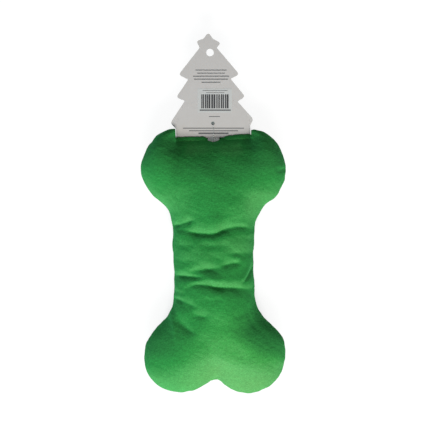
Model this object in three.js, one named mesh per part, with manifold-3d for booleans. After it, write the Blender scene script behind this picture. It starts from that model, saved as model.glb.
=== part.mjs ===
// A stuffed, bone-shaped dog toy with its swing tag, lying on its front face.
// Millimetres, +Z up. The origin is on the table under the middle of the shaft, and +Y runs
// along the bone to the end that carries the tag.
import * as THREE from "three";
import { mergeGeometries, mergeVertices } from "three/addons/utils/BufferGeometryUtils.js";
import Module from "manifold-3d";

const wasm = await Module();
wasm.setup();

// The bone's outline, seen from above.
const BONE_LENGTH = 300;
const SHAFT_HALF_WIDTH = 44.5;
const KNUCKLE_RADIUS = 44;
const KNUCKLE_SPREAD = 38; // knuckle centre to the bone's centreline
const WAIST_RADIUS = 33; // hollow curve between the shaft and a knuckle
const NOTCH_RADIUS = 9; // hollow curve between the two knuckles of an end
const PALM_RADIUS = 54; // widest circle that fits where the knuckles meet the shaft

// The stuffed thickness, on each side of the seam.
const SEAM_HEIGHT = 28;
const TABLE_FLAT = 0.5; // how far the underside is pressed flat
const SHAFT_CROWN = 30;
const PALM_CROWN = 30.5;
const KNUCKLE_CROWN = 29;
const FAR_PALM_CROWN = 28.5;
const FAR_KNUCKLE_CROWN = 25;

// The back falls away towards the card: its height over the card's foot, how fast it may rise
// from there, how far it stays level across as a share of the knuckles' spread, how fast it may
// rise to the sides beyond that, and how tightly this slope meets the crown.
const FOOT_CROWN = 4;
const FOOT_SLOPE = 0.76;
const LEVEL_SHARE = 1.1;
const SIDE_SLOPE = 0.75;
const SLOPE_TIGHTNESS = 4;

// How finely the stuffed shape is drawn.
const ARC_STEP = THREE.MathUtils.degToRad(20);
const BRANCH_STEPS = 3;
const NOTCH_STEPS = 2;
const CROWN_STEPS = 5;
const SHOULDER_SIDES = 16;

// Fabric, seam and clearances.
const FABRIC = 1.5;
const SEAM_ALLOWANCE = 7;
const SEAM_GAP = 0.3;
const FIT = 0.3; // gap kept between pieces that rest on each other
const THREAD = 0.6;
const THREAD_INSET = 2; // stitch line to the panels' inner face
const OVERRUN = 5; // how far a cutting solid runs past what it cuts

// The stitches that close the turning gap, on the shaft's right edge. The ends are shares of the
// way from the middle of the shaft to where the waist curve begins.
const CLOSING_END_SHARES = [-0.75, 0.35];
const CLOSING_PITCH = 4;
const CLOSING_HALF_HEIGHT = 2;

// The squeaker, in the middle of the shaft.
const SQUEAKER_RADIUS = 24;
const SQUEAKER_HEIGHT = 24;
const SQUEAKER_WALL = 1.2;
const SQUEAKER_RIM = 3.4;
const SQUEAKER_PLEATS = 3;
const PLEAT_DEPTH = 3.2;
const SQUEAKER_SIDES = 28;
const PLUG_RADIUS = 6;
const PLUG_LENGTH = 9;
const PLUG_FLANGE_RADIUS = 8.5;
const PLUG_FLANGE = 1.4;
const PLUG_SIDES = 20;
const AIRWAY_WIDTH = 2.6;
const REED_LENGTH = 8.4;
const REED_WIDTH = 3.6;
const REED_THICKNESS = 0.3;
const REED_LIFT = 0.45; // free air under the reed
const REED_ROOT = 2.2; // length of the reed held by the wedge
const WEDGE_HEIGHT = 1.6;

// The swing tag: a card cut as a fir tree with a star on top.
const TAG_HEIGHT = 118;
const TAG_HALF_WIDTH = 46;
const TRUNK_HALF_WIDTH = 42;
const TRUNK_HEIGHT = 12.2;
const CARD = 0.6;
const TAG_LEAN = THREE.MathUtils.degToRad(2.35);
const TAG_SEAT = 4.75; // the card's lower edge above the notch, tucked between the knuckles
const PEG_HOLE_RADIUS = 4.25;
const PEG_HOLE_SHARE = 0.82; // of the tag's height, as are the pin's hole and the sticker
const PIN_HOLE_RADIUS = 2;
const PIN_HOLE_SHARE = 0.1415;
const TUCK_ANGLE = THREE.MathUtils.degToRad(81); // opening of the tuck, from the card's plane
const TUCK_SIDE_GAP = 2;
const TUCK_FOOT_GAP = 1;
const TUCK_SHOULDER_GAP = 1.2;
const STICKER_WIDTH = 38;
const STICKER_HEIGHT = 28.5;
const STICKER = 0.2;
const STICKER_ACROSS = 3.4; // its middle, from the tag's centreline
const STICKER_SHARE = 0.35; // and up from the tag's foot
const STICKER_TURN = THREE.MathUtils.degToRad(-2.4);
const STICKER_CORNER = 1.2;

// The tree's corners above the trunk, from its right side round to its left: across as a share
// of the tag's half-width, up as a share of its height, and the corner's radius as a share of
// the half-width.
const TREE_CORNER_SHARES = [
  [1, 0.165, 0.1],
  [0.63, 0.34, 0.02],
  [0.82, 0.385, 0.07],
  [0.48, 0.56, 0.02],
  [0.7, 0.6, 0.07],
  [0.17, 0.863, 0.02],
  [0.27, 0.908, 0.05],
  [0.08, 0.953, 0.05],
  [-0.018, 1.016, 0.08],
  [-0.145, 0.956, 0.05],
  [-0.325, 0.935, 0.06],
  [-0.25, 0.87, 0.02],
  [-0.795, 0.62, 0.07],
  [-0.56, 0.57, 0.02],
  [-0.88, 0.403, 0.07],
  [-0.665, 0.368, 0.02],
  [-1.05, 0.16, 0.1],
];

// The plastic pin that holds the tag: a cross bar inside the toy, a filament and a paddle.
const FILAMENT_RADIUS = 0.4;
const CROSS_BAR_RADIUS = 0.6;
const CROSS_BAR_LENGTH = 9;
const CROSS_BAR_DEPTH = 16; // behind the card's lower edge
const PADDLE = { width: 6.4, length: 5, thickness: 1 };
const FILAMENT_STEPS = 26;
const FILAMENT_SIDES = 8;

const COLOURS = {
  plush: 0x2f8f43,
  fibre: 0xf2f2ee,
  thread: 0x2a7d3c,
  card: 0xd8d5cf,
  label: 0xe6e9e2,
  clear: 0xdfe6e6,
  squeaker: 0xf1efe6,
  reed: 0xc9d6de,
};

// Solids.

// A closed geometry as a manifold-3d solid.
function solid(geometry) {
  const bare = geometry.clone();
  bare.deleteAttribute("normal");
  bare.deleteAttribute("uv");
  const merged = mergeVertices(bare, 1e-4);
  const corners = Array.from(merged.index.array);
  const kept = [];
  for (let i = 0; i < corners.length; i += 3) {
    const [a, b, c] = corners.slice(i, i + 3);
    if (a !== b && b !== c && c !== a) kept.push(a, b, c);
  }
  return new wasm.Manifold(
    new wasm.Mesh({
      numProp: 3,
      vertProperties: new Float32Array(merged.attributes.position.array),
      triVerts: new Uint32Array(kept),
    }),
  );
}

function geometryOf(manifold) {
  const mesh = manifold.getMesh();
  const positions = new Float32Array(mesh.numVert * 3);
  for (let i = 0; i < mesh.numVert; i++) {
    const from = i * mesh.numProp;
    positions.set(mesh.vertProperties.subarray(from, from + 3), i * 3);
  }
  const geometry = new THREE.BufferGeometry();
  geometry.setAttribute("position", new THREE.BufferAttribute(positions, 3));
  geometry.setIndex(new THREE.BufferAttribute(new Uint32Array(mesh.triVerts), 1));
  geometry.computeVertexNormals();
  return geometry;
}

// A box between two corners.
function block(low, high) {
  const size = high.map((value, i) => value - low[i]);
  const box = new THREE.BoxGeometry(...size);
  box.translate(...low.map((value, i) => value + size[i] / 2));
  return solid(box);
}

// A cylinder between two heights, round a vertical axis.
function drum(radius, low, high, sides, x = 0, y = 0) {
  const cylinder = new THREE.CylinderGeometry(radius, radius, high - low, sides);
  cylinder.rotateX(Math.PI / 2);
  cylinder.translate(x, y, (low + high) / 2);
  return solid(cylinder);
}

// The stuffed bone.

const halfLength = BONE_LENGTH / 2;
const knuckle = { x: KNUCKLE_SPREAD, y: halfLength - KNUCKLE_RADIUS };
const waistX = SHAFT_HALF_WIDTH + WAIST_RADIUS;
const waist = {
  x: waistX,
  y: knuckle.y - Math.sqrt((KNUCKLE_RADIUS + WAIST_RADIUS) ** 2 - (waistX - knuckle.x) ** 2),
};
const notch = {
  x: 0,
  y: knuckle.y + Math.sqrt((KNUCKLE_RADIUS + NOTCH_RADIUS) ** 2 - KNUCKLE_SPREAD ** 2),
};
const notchApex = notch.y - NOTCH_RADIUS;
const palm = { x: 0, y: notchApex - PALM_RADIUS };
const tagFoot = notchApex + TAG_SEAT;
const pegHoleHeight = PEG_HOLE_SHARE * TAG_HEIGHT;
const pinHoleHeight = PIN_HOLE_SHARE * TAG_HEIGHT;

// Height of the crown over a point of the spine, which is a palm, a shaft or a branch.
function crownAt(point, shaft, palmHeight, knuckleHeight) {
  if (point.branch > 0) return THREE.MathUtils.lerp(palmHeight, knuckleHeight, point.branch);
  return THREE.MathUtils.lerp(
    shaft,
    palmHeight,
    THREE.MathUtils.smoothstep(Math.abs(point.y), waist.y, palm.y),
  );
}

function onBranch(share) {
  return {
    x: THREE.MathUtils.lerp(palm.x, knuckle.x, share),
    y: THREE.MathUtils.lerp(palm.y, knuckle.y, share),
    branch: share,
  };
}

// Points along an arc, its end left out, each with the spine point that spineOf gives it.
function arc(centre, radius, from, to, steps, spineOf) {
  return Array.from({ length: steps }, (_, i) => {
    const angle = from + ((to - from) * i) / steps;
    return {
      x: centre.x + radius * Math.cos(angle),
      y: centre.y + radius * Math.sin(angle),
      spine: spineOf(i / steps),
    };
  });
}

// A quarter of the outline, from the shaft's right edge to the notch at the tag end, drawn in
// by inset. Each point carries the point of the spine that its cross-section runs to.
function quarterOutline(inset) {
  const steps = (angle) => Math.max(2, Math.ceil(Math.abs(angle) / ARC_STEP));
  const toWaist = Math.atan2(waist.y - knuckle.y, waist.x - knuckle.x);
  const toNotch = Math.atan2(notch.y - knuckle.y, notch.x - knuckle.x);
  const branchOut = 0;
  const branchBack = Math.PI / 2;
  const middle = { x: SHAFT_HALF_WIDTH - inset, y: 0, spine: { x: 0, y: 0, branch: 0 } };
  const centreline = (share) => ({
    x: 0,
    y: THREE.MathUtils.lerp(waist.y, palm.y, share),
    branch: 0,
  });
  const round = KNUCKLE_RADIUS - inset;
  return [
    middle,
    ...arc(waist, WAIST_RADIUS + inset, Math.PI, Math.PI + toWaist, steps(toWaist), centreline),
    ...arc(knuckle, round, toWaist, branchOut, BRANCH_STEPS, onBranch),
    ...arc(knuckle, round, branchOut, branchBack, steps(branchBack), () => onBranch(1)),
    ...arc(knuckle, round, branchBack, toNotch, BRANCH_STEPS, (share) => onBranch(1 - share)),
    ...arc(notch, NOTCH_RADIUS + inset, toNotch - Math.PI, -Math.PI / 2, NOTCH_STEPS, () => onBranch(0)),
    { x: 0, y: notchApex - inset, spine: onBranch(0) },
  ];
}

function mirrored(points, signX, signY) {
  return points.map(({ x, y, spine }) => ({
    x: x * signX,
    y: y * signY,
    spine: { ...spine, x: spine.x * signX, y: spine.y * signY },
  }));
}

function wholeOutline(inset) {
  const quarter = quarterOutline(inset);
  const backwards = [...quarter].reverse();
  return [
    ...quarter,
    ...mirrored(backwards, -1, 1).slice(1),
    ...mirrored(quarter, -1, -1).slice(1),
    ...mirrored(backwards, 1, -1).slice(1, -1),
  ];
}

// The crown over a point of the spine, on the back or on the side that lies on the table.
function crownOn(side, spine) {
  if (side < 0) return SEAM_HEIGHT + TABLE_FLAT;
  if (spine.y < 0) return crownAt(spine, SHAFT_CROWN, FAR_PALM_CROWN, FAR_KNUCKLE_CROWN);
  return crownAt(spine, SHAFT_CROWN, PALM_CROWN, KNUCKLE_CROWN);
}

// A height on the back, held down to the slope that rises from the card's foot.
function settled(x, y, height, inset) {
  const place = new THREE.Vector3(x, y, 0).applyMatrix4(tagPlace().invert());
  const beyond = Math.max(-place.y, 0);
  const beside = Math.max(Math.abs(place.x) - LEVEL_SHARE * KNUCKLE_SPREAD, 0);
  const slope = FOOT_CROWN + FOOT_SLOPE * beyond + SIDE_SLOPE * beside - inset;
  const limit = Math.max(slope, FIT);
  const both = height ** SLOPE_TIGHTNESS + limit ** SLOPE_TIGHTNESS;
  return (height * limit) / both ** (1 / SLOPE_TIGHTNESS);
}

// Rings from the outline in to the spine, rising as a quarter of an ellipse.
function crownGeometry(outline, inset, side) {
  const rings = Array.from({ length: CROWN_STEPS + 1 }, (_, k) => {
    const angle = (Math.PI / 2) * (k / CROWN_STEPS);
    const reach = k === CROWN_STEPS ? 0 : Math.cos(angle);
    return outline.map(({ x, y, spine }) => {
      const height = (crownOn(side, spine) - inset) * Math.sin(angle);
      const [ringX, ringY] = [spine.x + (x - spine.x) * reach, spine.y + (y - spine.y) * reach];
      const rise = side > 0 ? settled(ringX, ringY, height, inset) : height;
      return [ringX, ringY, SEAM_HEIGHT + side * rise];
    });
  });
  const positions = rings.flat(2);
  const index = [];
  const count = outline.length;
  for (let k = 0; k < CROWN_STEPS; k++) {
    for (let i = 0; i < count; i++) {
      const j = (i + 1) % count;
      const [a, b, c, d] = [k * count + i, k * count + j, (k + 1) * count + j, (k + 1) * count + i];
      if (side > 0) index.push(a, b, c, a, c, d);
      else index.push(a, c, b, a, d, c);
    }
  }
  const geometry = new THREE.BufferGeometry();
  geometry.setAttribute("position", new THREE.Float32BufferAttribute(positions, 3));
  geometry.setIndex(index);
  return geometry;
}

const farOut = BONE_LENGTH;

// Turns a section drawn up the tag and out of it into one that runs across the tag.
const acrossTheTag = new THREE.Matrix4().makeBasis(
  new THREE.Vector3(0, 1, 0),
  new THREE.Vector3(0, 0, 1),
  new THREE.Vector3(1, 0, 0),
);

// A wedge that opens outwards from the card's foot, to each side of the card.
function footWedge(halfWidth, inset) {
  const back = -TUCK_FOOT_GAP - inset;
  const front = KNUCKLE_RADIUS;
  const low = CARD + inset;
  const high = low + (front - back) * Math.tan(TUCK_ANGLE);
  const wedge = new THREE.Shape([
    new THREE.Vector2(back, -low),
    new THREE.Vector2(front, -high),
    new THREE.Vector2(front, high),
    new THREE.Vector2(back, low),
  ]);
  const depth = 2 * halfWidth;
  const geometry = new THREE.ExtrudeGeometry(wedge, { depth, bevelEnabled: false });
  geometry.translate(0, 0, -halfWidth);
  return solid(geometry.applyMatrix4(acrossTheTag));
}

const widestShare = Math.max(...TREE_CORNER_SHARES.map(([x]) => Math.abs(x)));
const shoulderRoom = widestShare * TAG_HALF_WIDTH + TUCK_SHOULDER_GAP;

// The tuck that the card's foot and its shoulders press into the tag end, grown by inset.
function tuck(inset) {
  const shoulder = shoulderRoom + inset;
  const trunk = TRUNK_HALF_WIDTH + TUCK_SIDE_GAP + inset;
  const reach = TRUNK_HEIGHT - TUCK_SHOULDER_GAP - inset;
  const kept = new THREE.CylinderGeometry(reach, reach, 2 * shoulder + OVERRUN, SHOULDER_SIDES);
  kept.rotateZ(Math.PI / 2);
  const swing = footWedge(shoulder, inset).subtract(solid(kept));
  return footWedge(trunk, inset).add(swing).transform(tagPlace().elements);
}

// The stuffed shape drawn in by inset, pressed flat underneath and tucked for the card.
function stuffed(inset) {
  const outline = wholeOutline(inset);
  const whole = mergeGeometries([
    crownGeometry(outline, inset, 1),
    crownGeometry(outline, inset, -1),
  ]);
  const top = SEAM_HEIGHT + PALM_CROWN + OVERRUN;
  const overTable = block([-farOut, -farOut, inset], [farOut, farOut, top]);
  return solid(whole).intersect(overTable).subtract(tuck(inset));
}

// Everything between two heights.
function slab(low, high) {
  return block([-farOut, -farOut, low], [farOut, farOut, high]);
}

// What the seam allowance leaves free in the middle, clear of the card from side to side.
function insideAllowance(inset) {
  const tag = footWedge(shoulderRoom + inset, inset).transform(tagPlace().elements);
  return stuffed(inset).subtract(tag);
}

const outside = stuffed(0);
const lining = stuffed(FABRIC);
const allowanceEdge = insideAllowance(FABRIC + SEAM_ALLOWANCE);
const skyHigh = SEAM_HEIGHT + PALM_CROWN + OVERRUN;

// Where the pin's filament runs through the seam at the notch.
function needleHole() {
  const radius = FILAMENT_RADIUS + FIT;
  const length = CROSS_BAR_DEPTH;
  const hole = new THREE.CylinderGeometry(radius, radius, length, FILAMENT_SIDES);
  hole.translate(0, -length / 2, 0);
  hole.applyMatrix4(tagPlace());
  return solid(hole);
}

// One face of the skin: the fabric, with its seam allowance turned in.
function panel(side) {
  const seam = SEAM_HEIGHT + (side * SEAM_GAP) / 2;
  const far = side > 0 ? skyHigh : -OVERRUN;
  const half = slab(Math.min(seam, far), Math.max(seam, far));
  const skin = outside.subtract(lining).intersect(half);
  const turned = slab(Math.min(seam, seam + side * FABRIC), Math.max(seam, seam + side * FABRIC));
  const allowance = outside.subtract(allowanceEdge).intersect(turned);
  return skin.add(allowance).subtract(needleHole());
}

// The stitch line, which lies on the back panel's allowance inside the toy.
function seamThread() {
  const low = SEAM_HEIGHT + SEAM_GAP / 2 + FABRIC + FIT;
  const outer = stuffed(FABRIC + THREAD_INSET);
  const inner = stuffed(FABRIC + THREAD_INSET + THREAD);
  return outer.subtract(inner).intersect(slab(low, low + THREAD));
}

// A ladder of stitches over the seam, on the shaft's right edge.
function closingThread() {
  const radius = THREAD / 2;
  const x = SHAFT_HALF_WIDTH + FIT + radius;
  const [start, end] = CLOSING_END_SHARES.map((share) => share * waist.y);
  const crossings = Math.round((end - start) / CLOSING_PITCH);
  const points = Array.from({ length: crossings + 1 }, (_, i) => {
    const side = i % 2 ? 1 : -1;
    const y = start + i * CLOSING_PITCH;
    return new THREE.Vector3(x, y, SEAM_HEIGHT + side * CLOSING_HALF_HEIGHT);
  });
  return solid(tube(points, radius, crossings * 4, 6));
}

// A tube through the points, closed at both ends.
function tube(points, radius, steps, sides) {
  const section = new THREE.Shape(
    Array.from({ length: sides }, (_, i) => {
      const angle = (2 * Math.PI * i) / sides;
      return new THREE.Vector2(radius * Math.cos(angle), radius * Math.sin(angle));
    }),
  );
  const path = new THREE.CatmullRomCurve3(points, false, "centripetal");
  return new THREE.ExtrudeGeometry(section, { steps, extrudePath: path, bevelEnabled: false });
}

// Filling.

// All the fibre, with a groove for the seam allowance and its stitches.
function fibre() {
  const grown = FABRIC + FIT;
  const grooveHalf = SEAM_GAP / 2 + FABRIC + FIT + THREAD + FIT;
  const groove = slab(SEAM_HEIGHT - grooveHalf, SEAM_HEIGHT + grooveHalf).subtract(
    insideAllowance(grown + SEAM_ALLOWANCE),
  );
  return stuffed(grown).subtract(groove);
}

const filling = fibre();

// The room that the pin's cross bar and filament take in the fibre.
function pinRoom() {
  const radius = CROSS_BAR_RADIUS + FIT;
  const bar = new THREE.CylinderGeometry(
    radius,
    radius,
    CROSS_BAR_LENGTH + 2 * FIT,
    FILAMENT_SIDES,
  );
  bar.rotateZ(Math.PI / 2);
  bar.translate(0, -CROSS_BAR_DEPTH, 0);
  bar.applyMatrix4(tagPlace());
  return solid(bar).add(needleHole());
}

// The wad pushed into one knuckle, as far as the start of the waist curve.
function knuckleWad(signX, signY) {
  const low = [FIT / 2, waist.y + FIT / 2];
  const x = signX > 0 ? [low[0], farOut] : [-farOut, -low[0]];
  const y = signY > 0 ? [low[1], farOut] : [-farOut, -low[1]];
  const corner = block([x[0], y[0], -OVERRUN], [x[1], y[1], skyHigh]);
  const wad = filling.intersect(corner).subtract(squeakerRoom());
  return signY > 0 ? wad.subtract(pinRoom()) : wad;
}

// The layer of fibre over or under the squeaker.
function shaftLayer(side) {
  const half = waist.y - FIT / 2;
  const meet = SEAM_HEIGHT + (side * FIT) / 2;
  const far = side > 0 ? skyHigh : -OVERRUN;
  const region = block([-farOut, -half, Math.min(meet, far)], [farOut, half, Math.max(meet, far)]);
  return filling.intersect(region).subtract(squeakerRoom());
}

// Squeaker.

const squeakerLow = SEAM_HEIGHT - SQUEAKER_HEIGHT / 2;
const squeakerHigh = SEAM_HEIGHT + SQUEAKER_HEIGHT / 2;
const plugLow = squeakerLow - FIT - PLUG_FLANGE;

function squeakerRoom() {
  const radius = SQUEAKER_RADIUS + FIT;
  const room = drum(radius, squeakerLow - FIT, squeakerHigh + FIT, SQUEAKER_SIDES);
  const flangeRoom = drum(PLUG_FLANGE_RADIUS + FIT, plugLow - FIT, squeakerLow, PLUG_SIDES);
  return room.add(flangeRoom);
}

// A body turned about the vertical, from a closed profile of radius and height.
function turned(profile, sides) {
  const points = [...profile, profile[0]].map(([r, z]) => new THREE.Vector2(r, z));
  const geometry = new THREE.LatheGeometry(points, sides);
  geometry.rotateX(Math.PI / 2);
  return geometry;
}

// The lower shell, with the socket that the reed plug is pressed into.
function squeakerBase() {
  const bore = PLUG_RADIUS + FIT;
  const inner = SQUEAKER_RADIUS - SQUEAKER_WALL;
  const floor = squeakerLow + SQUEAKER_WALL;
  return turned(
    [
      [bore, squeakerLow],
      [SQUEAKER_RADIUS, squeakerLow],
      [SQUEAKER_RADIUS, squeakerLow + SQUEAKER_RIM],
      [inner, squeakerLow + SQUEAKER_RIM],
      [inner, floor],
      [bore + SQUEAKER_WALL, floor],
      [bore + SQUEAKER_WALL, floor + SQUEAKER_RIM],
      [bore, floor + SQUEAKER_RIM],
    ],
    SQUEAKER_SIDES,
  );
}

// The upper shell, which is pressed down.
function squeakerTop() {
  const inner = SQUEAKER_RADIUS - SQUEAKER_WALL;
  return turned(
    [
      [0, squeakerHigh - SQUEAKER_WALL],
      [inner, squeakerHigh - SQUEAKER_WALL],
      [inner, squeakerHigh - SQUEAKER_RIM],
      [SQUEAKER_RADIUS, squeakerHigh - SQUEAKER_RIM],
      [SQUEAKER_RADIUS, squeakerHigh],
      [0, squeakerHigh],
    ],
    SQUEAKER_SIDES,
  );
}

// The pleated wall between the two shells.
function squeakerBellows() {
  const low = squeakerLow + SQUEAKER_RIM + FIT;
  const high = squeakerHigh - SQUEAKER_RIM - FIT;
  const folds = 2 * SQUEAKER_PLEATS;
  const wall = Array.from({ length: folds + 1 }, (_, i) => ({
    radius: SQUEAKER_RADIUS - (i % 2 ? PLEAT_DEPTH : 0),
    z: THREE.MathUtils.lerp(low, high, i / folds),
  }));
  const outer = wall.map(({ radius, z }) => [radius, z]);
  const inner = wall.map(({ radius, z }) => [radius - SQUEAKER_WALL, z]).reverse();
  return turned([...outer, ...inner], SQUEAKER_SIDES);
}

const plugTop = plugLow + PLUG_FLANGE + PLUG_LENGTH;
const seatTop = plugTop - WEDGE_HEIGHT - REED_THICKNESS - 2 * FIT;

// The plug that carries the reed, with an airway up its middle.
function reedPlug() {
  const shank = drum(PLUG_RADIUS, plugLow, plugTop, PLUG_SIDES);
  const flange = drum(PLUG_FLANGE_RADIUS, plugLow, plugLow + PLUG_FLANGE, PLUG_SIDES);
  const half = AIRWAY_WIDTH / 2;
  const airway = block([-half, -half, plugLow - OVERRUN], [half, half, plugTop + OVERRUN]);
  const channelHalf = REED_WIDTH / 2 + FIT;
  const channel = block(
    [-PLUG_RADIUS - OVERRUN, -channelHalf, seatTop],
    [PLUG_RADIUS + OVERRUN, channelHalf, plugTop + OVERRUN],
  );
  const reliefEnd = -REED_LENGTH / 2 + REED_ROOT;
  const relief = block(
    [reliefEnd, -channelHalf, seatTop - REED_LIFT],
    [PLUG_RADIUS + OVERRUN, channelHalf, seatTop + FIT],
  );
  return shank.add(flange).subtract(airway).subtract(channel).subtract(relief);
}

const reedLow = seatTop + FIT;

function reed() {
  const half = [REED_LENGTH / 2, REED_WIDTH / 2];
  return block([-half[0], -half[1], reedLow], [half[0], half[1], reedLow + REED_THICKNESS]);
}

// The wedge that clamps the reed's root in its channel.
function reedWedge() {
  const start = -REED_LENGTH / 2;
  const half = REED_WIDTH / 2;
  const low = reedLow + REED_THICKNESS + FIT;
  return block([start, -half, low], [start + REED_ROOT, half, low + WEDGE_HEIGHT]);
}

// Swing tag. Its own frame has x across the card and y up it from the middle of its foot.

function tagPlace() {
  return new THREE.Matrix4()
    .makeRotationZ(TAG_LEAN)
    .setPosition(0, tagFoot, SEAM_HEIGHT);
}

// A closed shape through the corners, each rounded by its own radius.
function roundedShape(corners) {
  const shape = new THREE.Shape();
  corners.forEach(([x, y, radius], i) => {
    const here = new THREE.Vector2(x, y);
    const [beforeX, beforeY] = corners[(i + corners.length - 1) % corners.length];
    const [afterX, afterY] = corners[(i + 1) % corners.length];
    const before = new THREE.Vector2(beforeX, beforeY).sub(here);
    const after = new THREE.Vector2(afterX, afterY).sub(here);
    const angle = Math.acos(before.dot(after) / (before.length() * after.length()));
    const wanted = radius / Math.tan(angle / 2);
    const cut = Math.min(wanted, before.length() / 2, after.length() / 2);
    const start = here.clone().addScaledVector(before.normalize(), cut);
    const end = here.clone().addScaledVector(after.normalize(), cut);
    if (i) shape.lineTo(start.x, start.y);
    else shape.moveTo(start.x, start.y);
    shape.quadraticCurveTo(here.x, here.y, end.x, end.y);
  });
  shape.closePath();
  return shape;
}

function tagOutline() {
  const right = [
    [TRUNK_HALF_WIDTH, 0, CARD],
    [TRUNK_HALF_WIDTH, TRUNK_HEIGHT, CARD],
  ];
  const tree = TREE_CORNER_SHARES.map(([x, y, radius]) => [
    x * TAG_HALF_WIDTH,
    y * TAG_HEIGHT,
    radius * TAG_HALF_WIDTH,
  ]);
  const left = right.map(([x, y, radius]) => [-x, y, radius]).reverse();
  return roundedShape([...right, ...tree, ...left]);
}

function roundHole(radius, y) {
  const hole = new THREE.Path();
  hole.absarc(0, y, radius, 0, 2 * Math.PI, true);
  return hole;
}

function tagCard() {
  const shape = tagOutline();
  shape.holes.push(roundHole(PEG_HOLE_RADIUS, pegHoleHeight));
  shape.holes.push(roundHole(PIN_HOLE_RADIUS, pinHoleHeight));
  const geometry = new THREE.ExtrudeGeometry(shape, {
    depth: CARD,
    bevelEnabled: false,
    curveSegments: 6,
  });
  geometry.translate(0, 0, -CARD / 2);
  return geometry;
}

function tagSticker() {
  const [halfX, halfY] = [STICKER_WIDTH / 2, STICKER_HEIGHT / 2];
  const shape = roundedShape([
    [halfX, -halfY, STICKER_CORNER],
    [halfX, halfY, STICKER_CORNER],
    [-halfX, halfY, STICKER_CORNER],
    [-halfX, -halfY, STICKER_CORNER],
  ]);
  const geometry = new THREE.ExtrudeGeometry(shape, {
    depth: STICKER,
    bevelEnabled: false,
    curveSegments: 3,
  });
  geometry.rotateZ(STICKER_TURN);
  geometry.translate(STICKER_ACROSS, STICKER_SHARE * TAG_HEIGHT, CARD / 2 + FIT);
  return geometry;
}

// Out of the seam, up the card's face and down through its small hole to the paddle below.
function tagPin() {
  const over = CARD / 2 + FIT + FILAMENT_RADIUS;
  const under = -CARD / 2 - FIT;
  const bend = 2 * FILAMENT_RADIUS;
  const points = [
    [-CROSS_BAR_DEPTH, 0],
    [-CROSS_BAR_DEPTH / 2, 0],
    [-TUCK_FOOT_GAP - FABRIC, 0],
    [0, over],
    [pinHoleHeight / 2, over],
    [pinHoleHeight - 2 * bend, over],
    [pinHoleHeight - bend / 2, over - bend / 2],
    [pinHoleHeight, 0],
    [pinHoleHeight, under - PADDLE.thickness / 2],
  ].map(([y, z]) => new THREE.Vector3(0, y, z));
  const filament = tube(points, FILAMENT_RADIUS, FILAMENT_STEPS, FILAMENT_SIDES);
  const bar = new THREE.CylinderGeometry(
    CROSS_BAR_RADIUS,
    CROSS_BAR_RADIUS,
    CROSS_BAR_LENGTH,
    FILAMENT_SIDES,
  );
  bar.rotateZ(Math.PI / 2);
  bar.translate(0, -CROSS_BAR_DEPTH, 0);
  const paddle = new THREE.BoxGeometry(PADDLE.width, PADDLE.length, PADDLE.thickness);
  paddle.translate(0, pinHoleHeight, under - PADDLE.thickness / 2);
  return geometryOf(solid(filament).add(solid(bar)).add(solid(paddle)));
}

// Assembly.

function material(color, roughness) {
  return new THREE.MeshStandardMaterial({ color, roughness, metalness: 0 });
}

const materials = {
  plush: material(COLOURS.plush, 0.95),
  fibre: material(COLOURS.fibre, 1),
  thread: material(COLOURS.thread, 0.8),
  card: material(COLOURS.card, 0.7),
  label: material(COLOURS.label, 0.5),
  clear: material(COLOURS.clear, 0.3),
  squeaker: material(COLOURS.squeaker, 0.45),
  reed: material(COLOURS.reed, 0.3),
};

function named(name, shape, finish) {
  const geometry = shape.isBufferGeometry ? shape : geometryOf(shape);
  const mesh = new THREE.Mesh(geometry, finish);
  mesh.name = name;
  return mesh;
}

const toy = new THREE.Group();
toy.add(
  named("back_panel", panel(1), materials.plush),
  named("front_panel", panel(-1), materials.plush),
  named("seam_thread", seamThread(), materials.thread),
  named("closing_thread", closingThread(), materials.thread),
  named("filling_tag_end_right", knuckleWad(1, 1), materials.fibre),
  named("filling_tag_end_left", knuckleWad(-1, 1), materials.fibre),
  named("filling_far_end_right", knuckleWad(1, -1), materials.fibre),
  named("filling_far_end_left", knuckleWad(-1, -1), materials.fibre),
  named("filling_shaft_back", shaftLayer(1), materials.fibre),
  named("filling_shaft_front", shaftLayer(-1), materials.fibre),
  named("squeaker_base", squeakerBase(), materials.squeaker),
  named("squeaker_bellows", squeakerBellows(), materials.squeaker),
  named("squeaker_top", squeakerTop(), materials.squeaker),
  named("reed_plug", reedPlug(), materials.squeaker),
  named("reed", reed(), materials.reed),
  named("reed_wedge", reedWedge(), materials.squeaker),
);

const tag = new THREE.Group();
tag.add(
  named("tag_card", tagCard(), materials.card),
  named("tag_sticker", tagSticker(), materials.label),
  named("tag_pin", tagPin(), materials.clear),
);
tag.applyMatrix4(tagPlace());
toy.add(tag);

export default toy;
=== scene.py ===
# The bone-shaped plush dog toy with its swing tag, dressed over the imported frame.
# Metres, +Z up. The toy lies on its front; +Y runs along the bone to the end with the tag.
from contextlib import contextmanager
from math import acos, atan2, cos, dist, pi, radians, sin, sqrt, tan

import bmesh
import bpy
import numpy as np
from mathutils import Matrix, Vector
from mathutils.bvhtree import BVHTree
from mathutils.kdtree import KDTree


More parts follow.
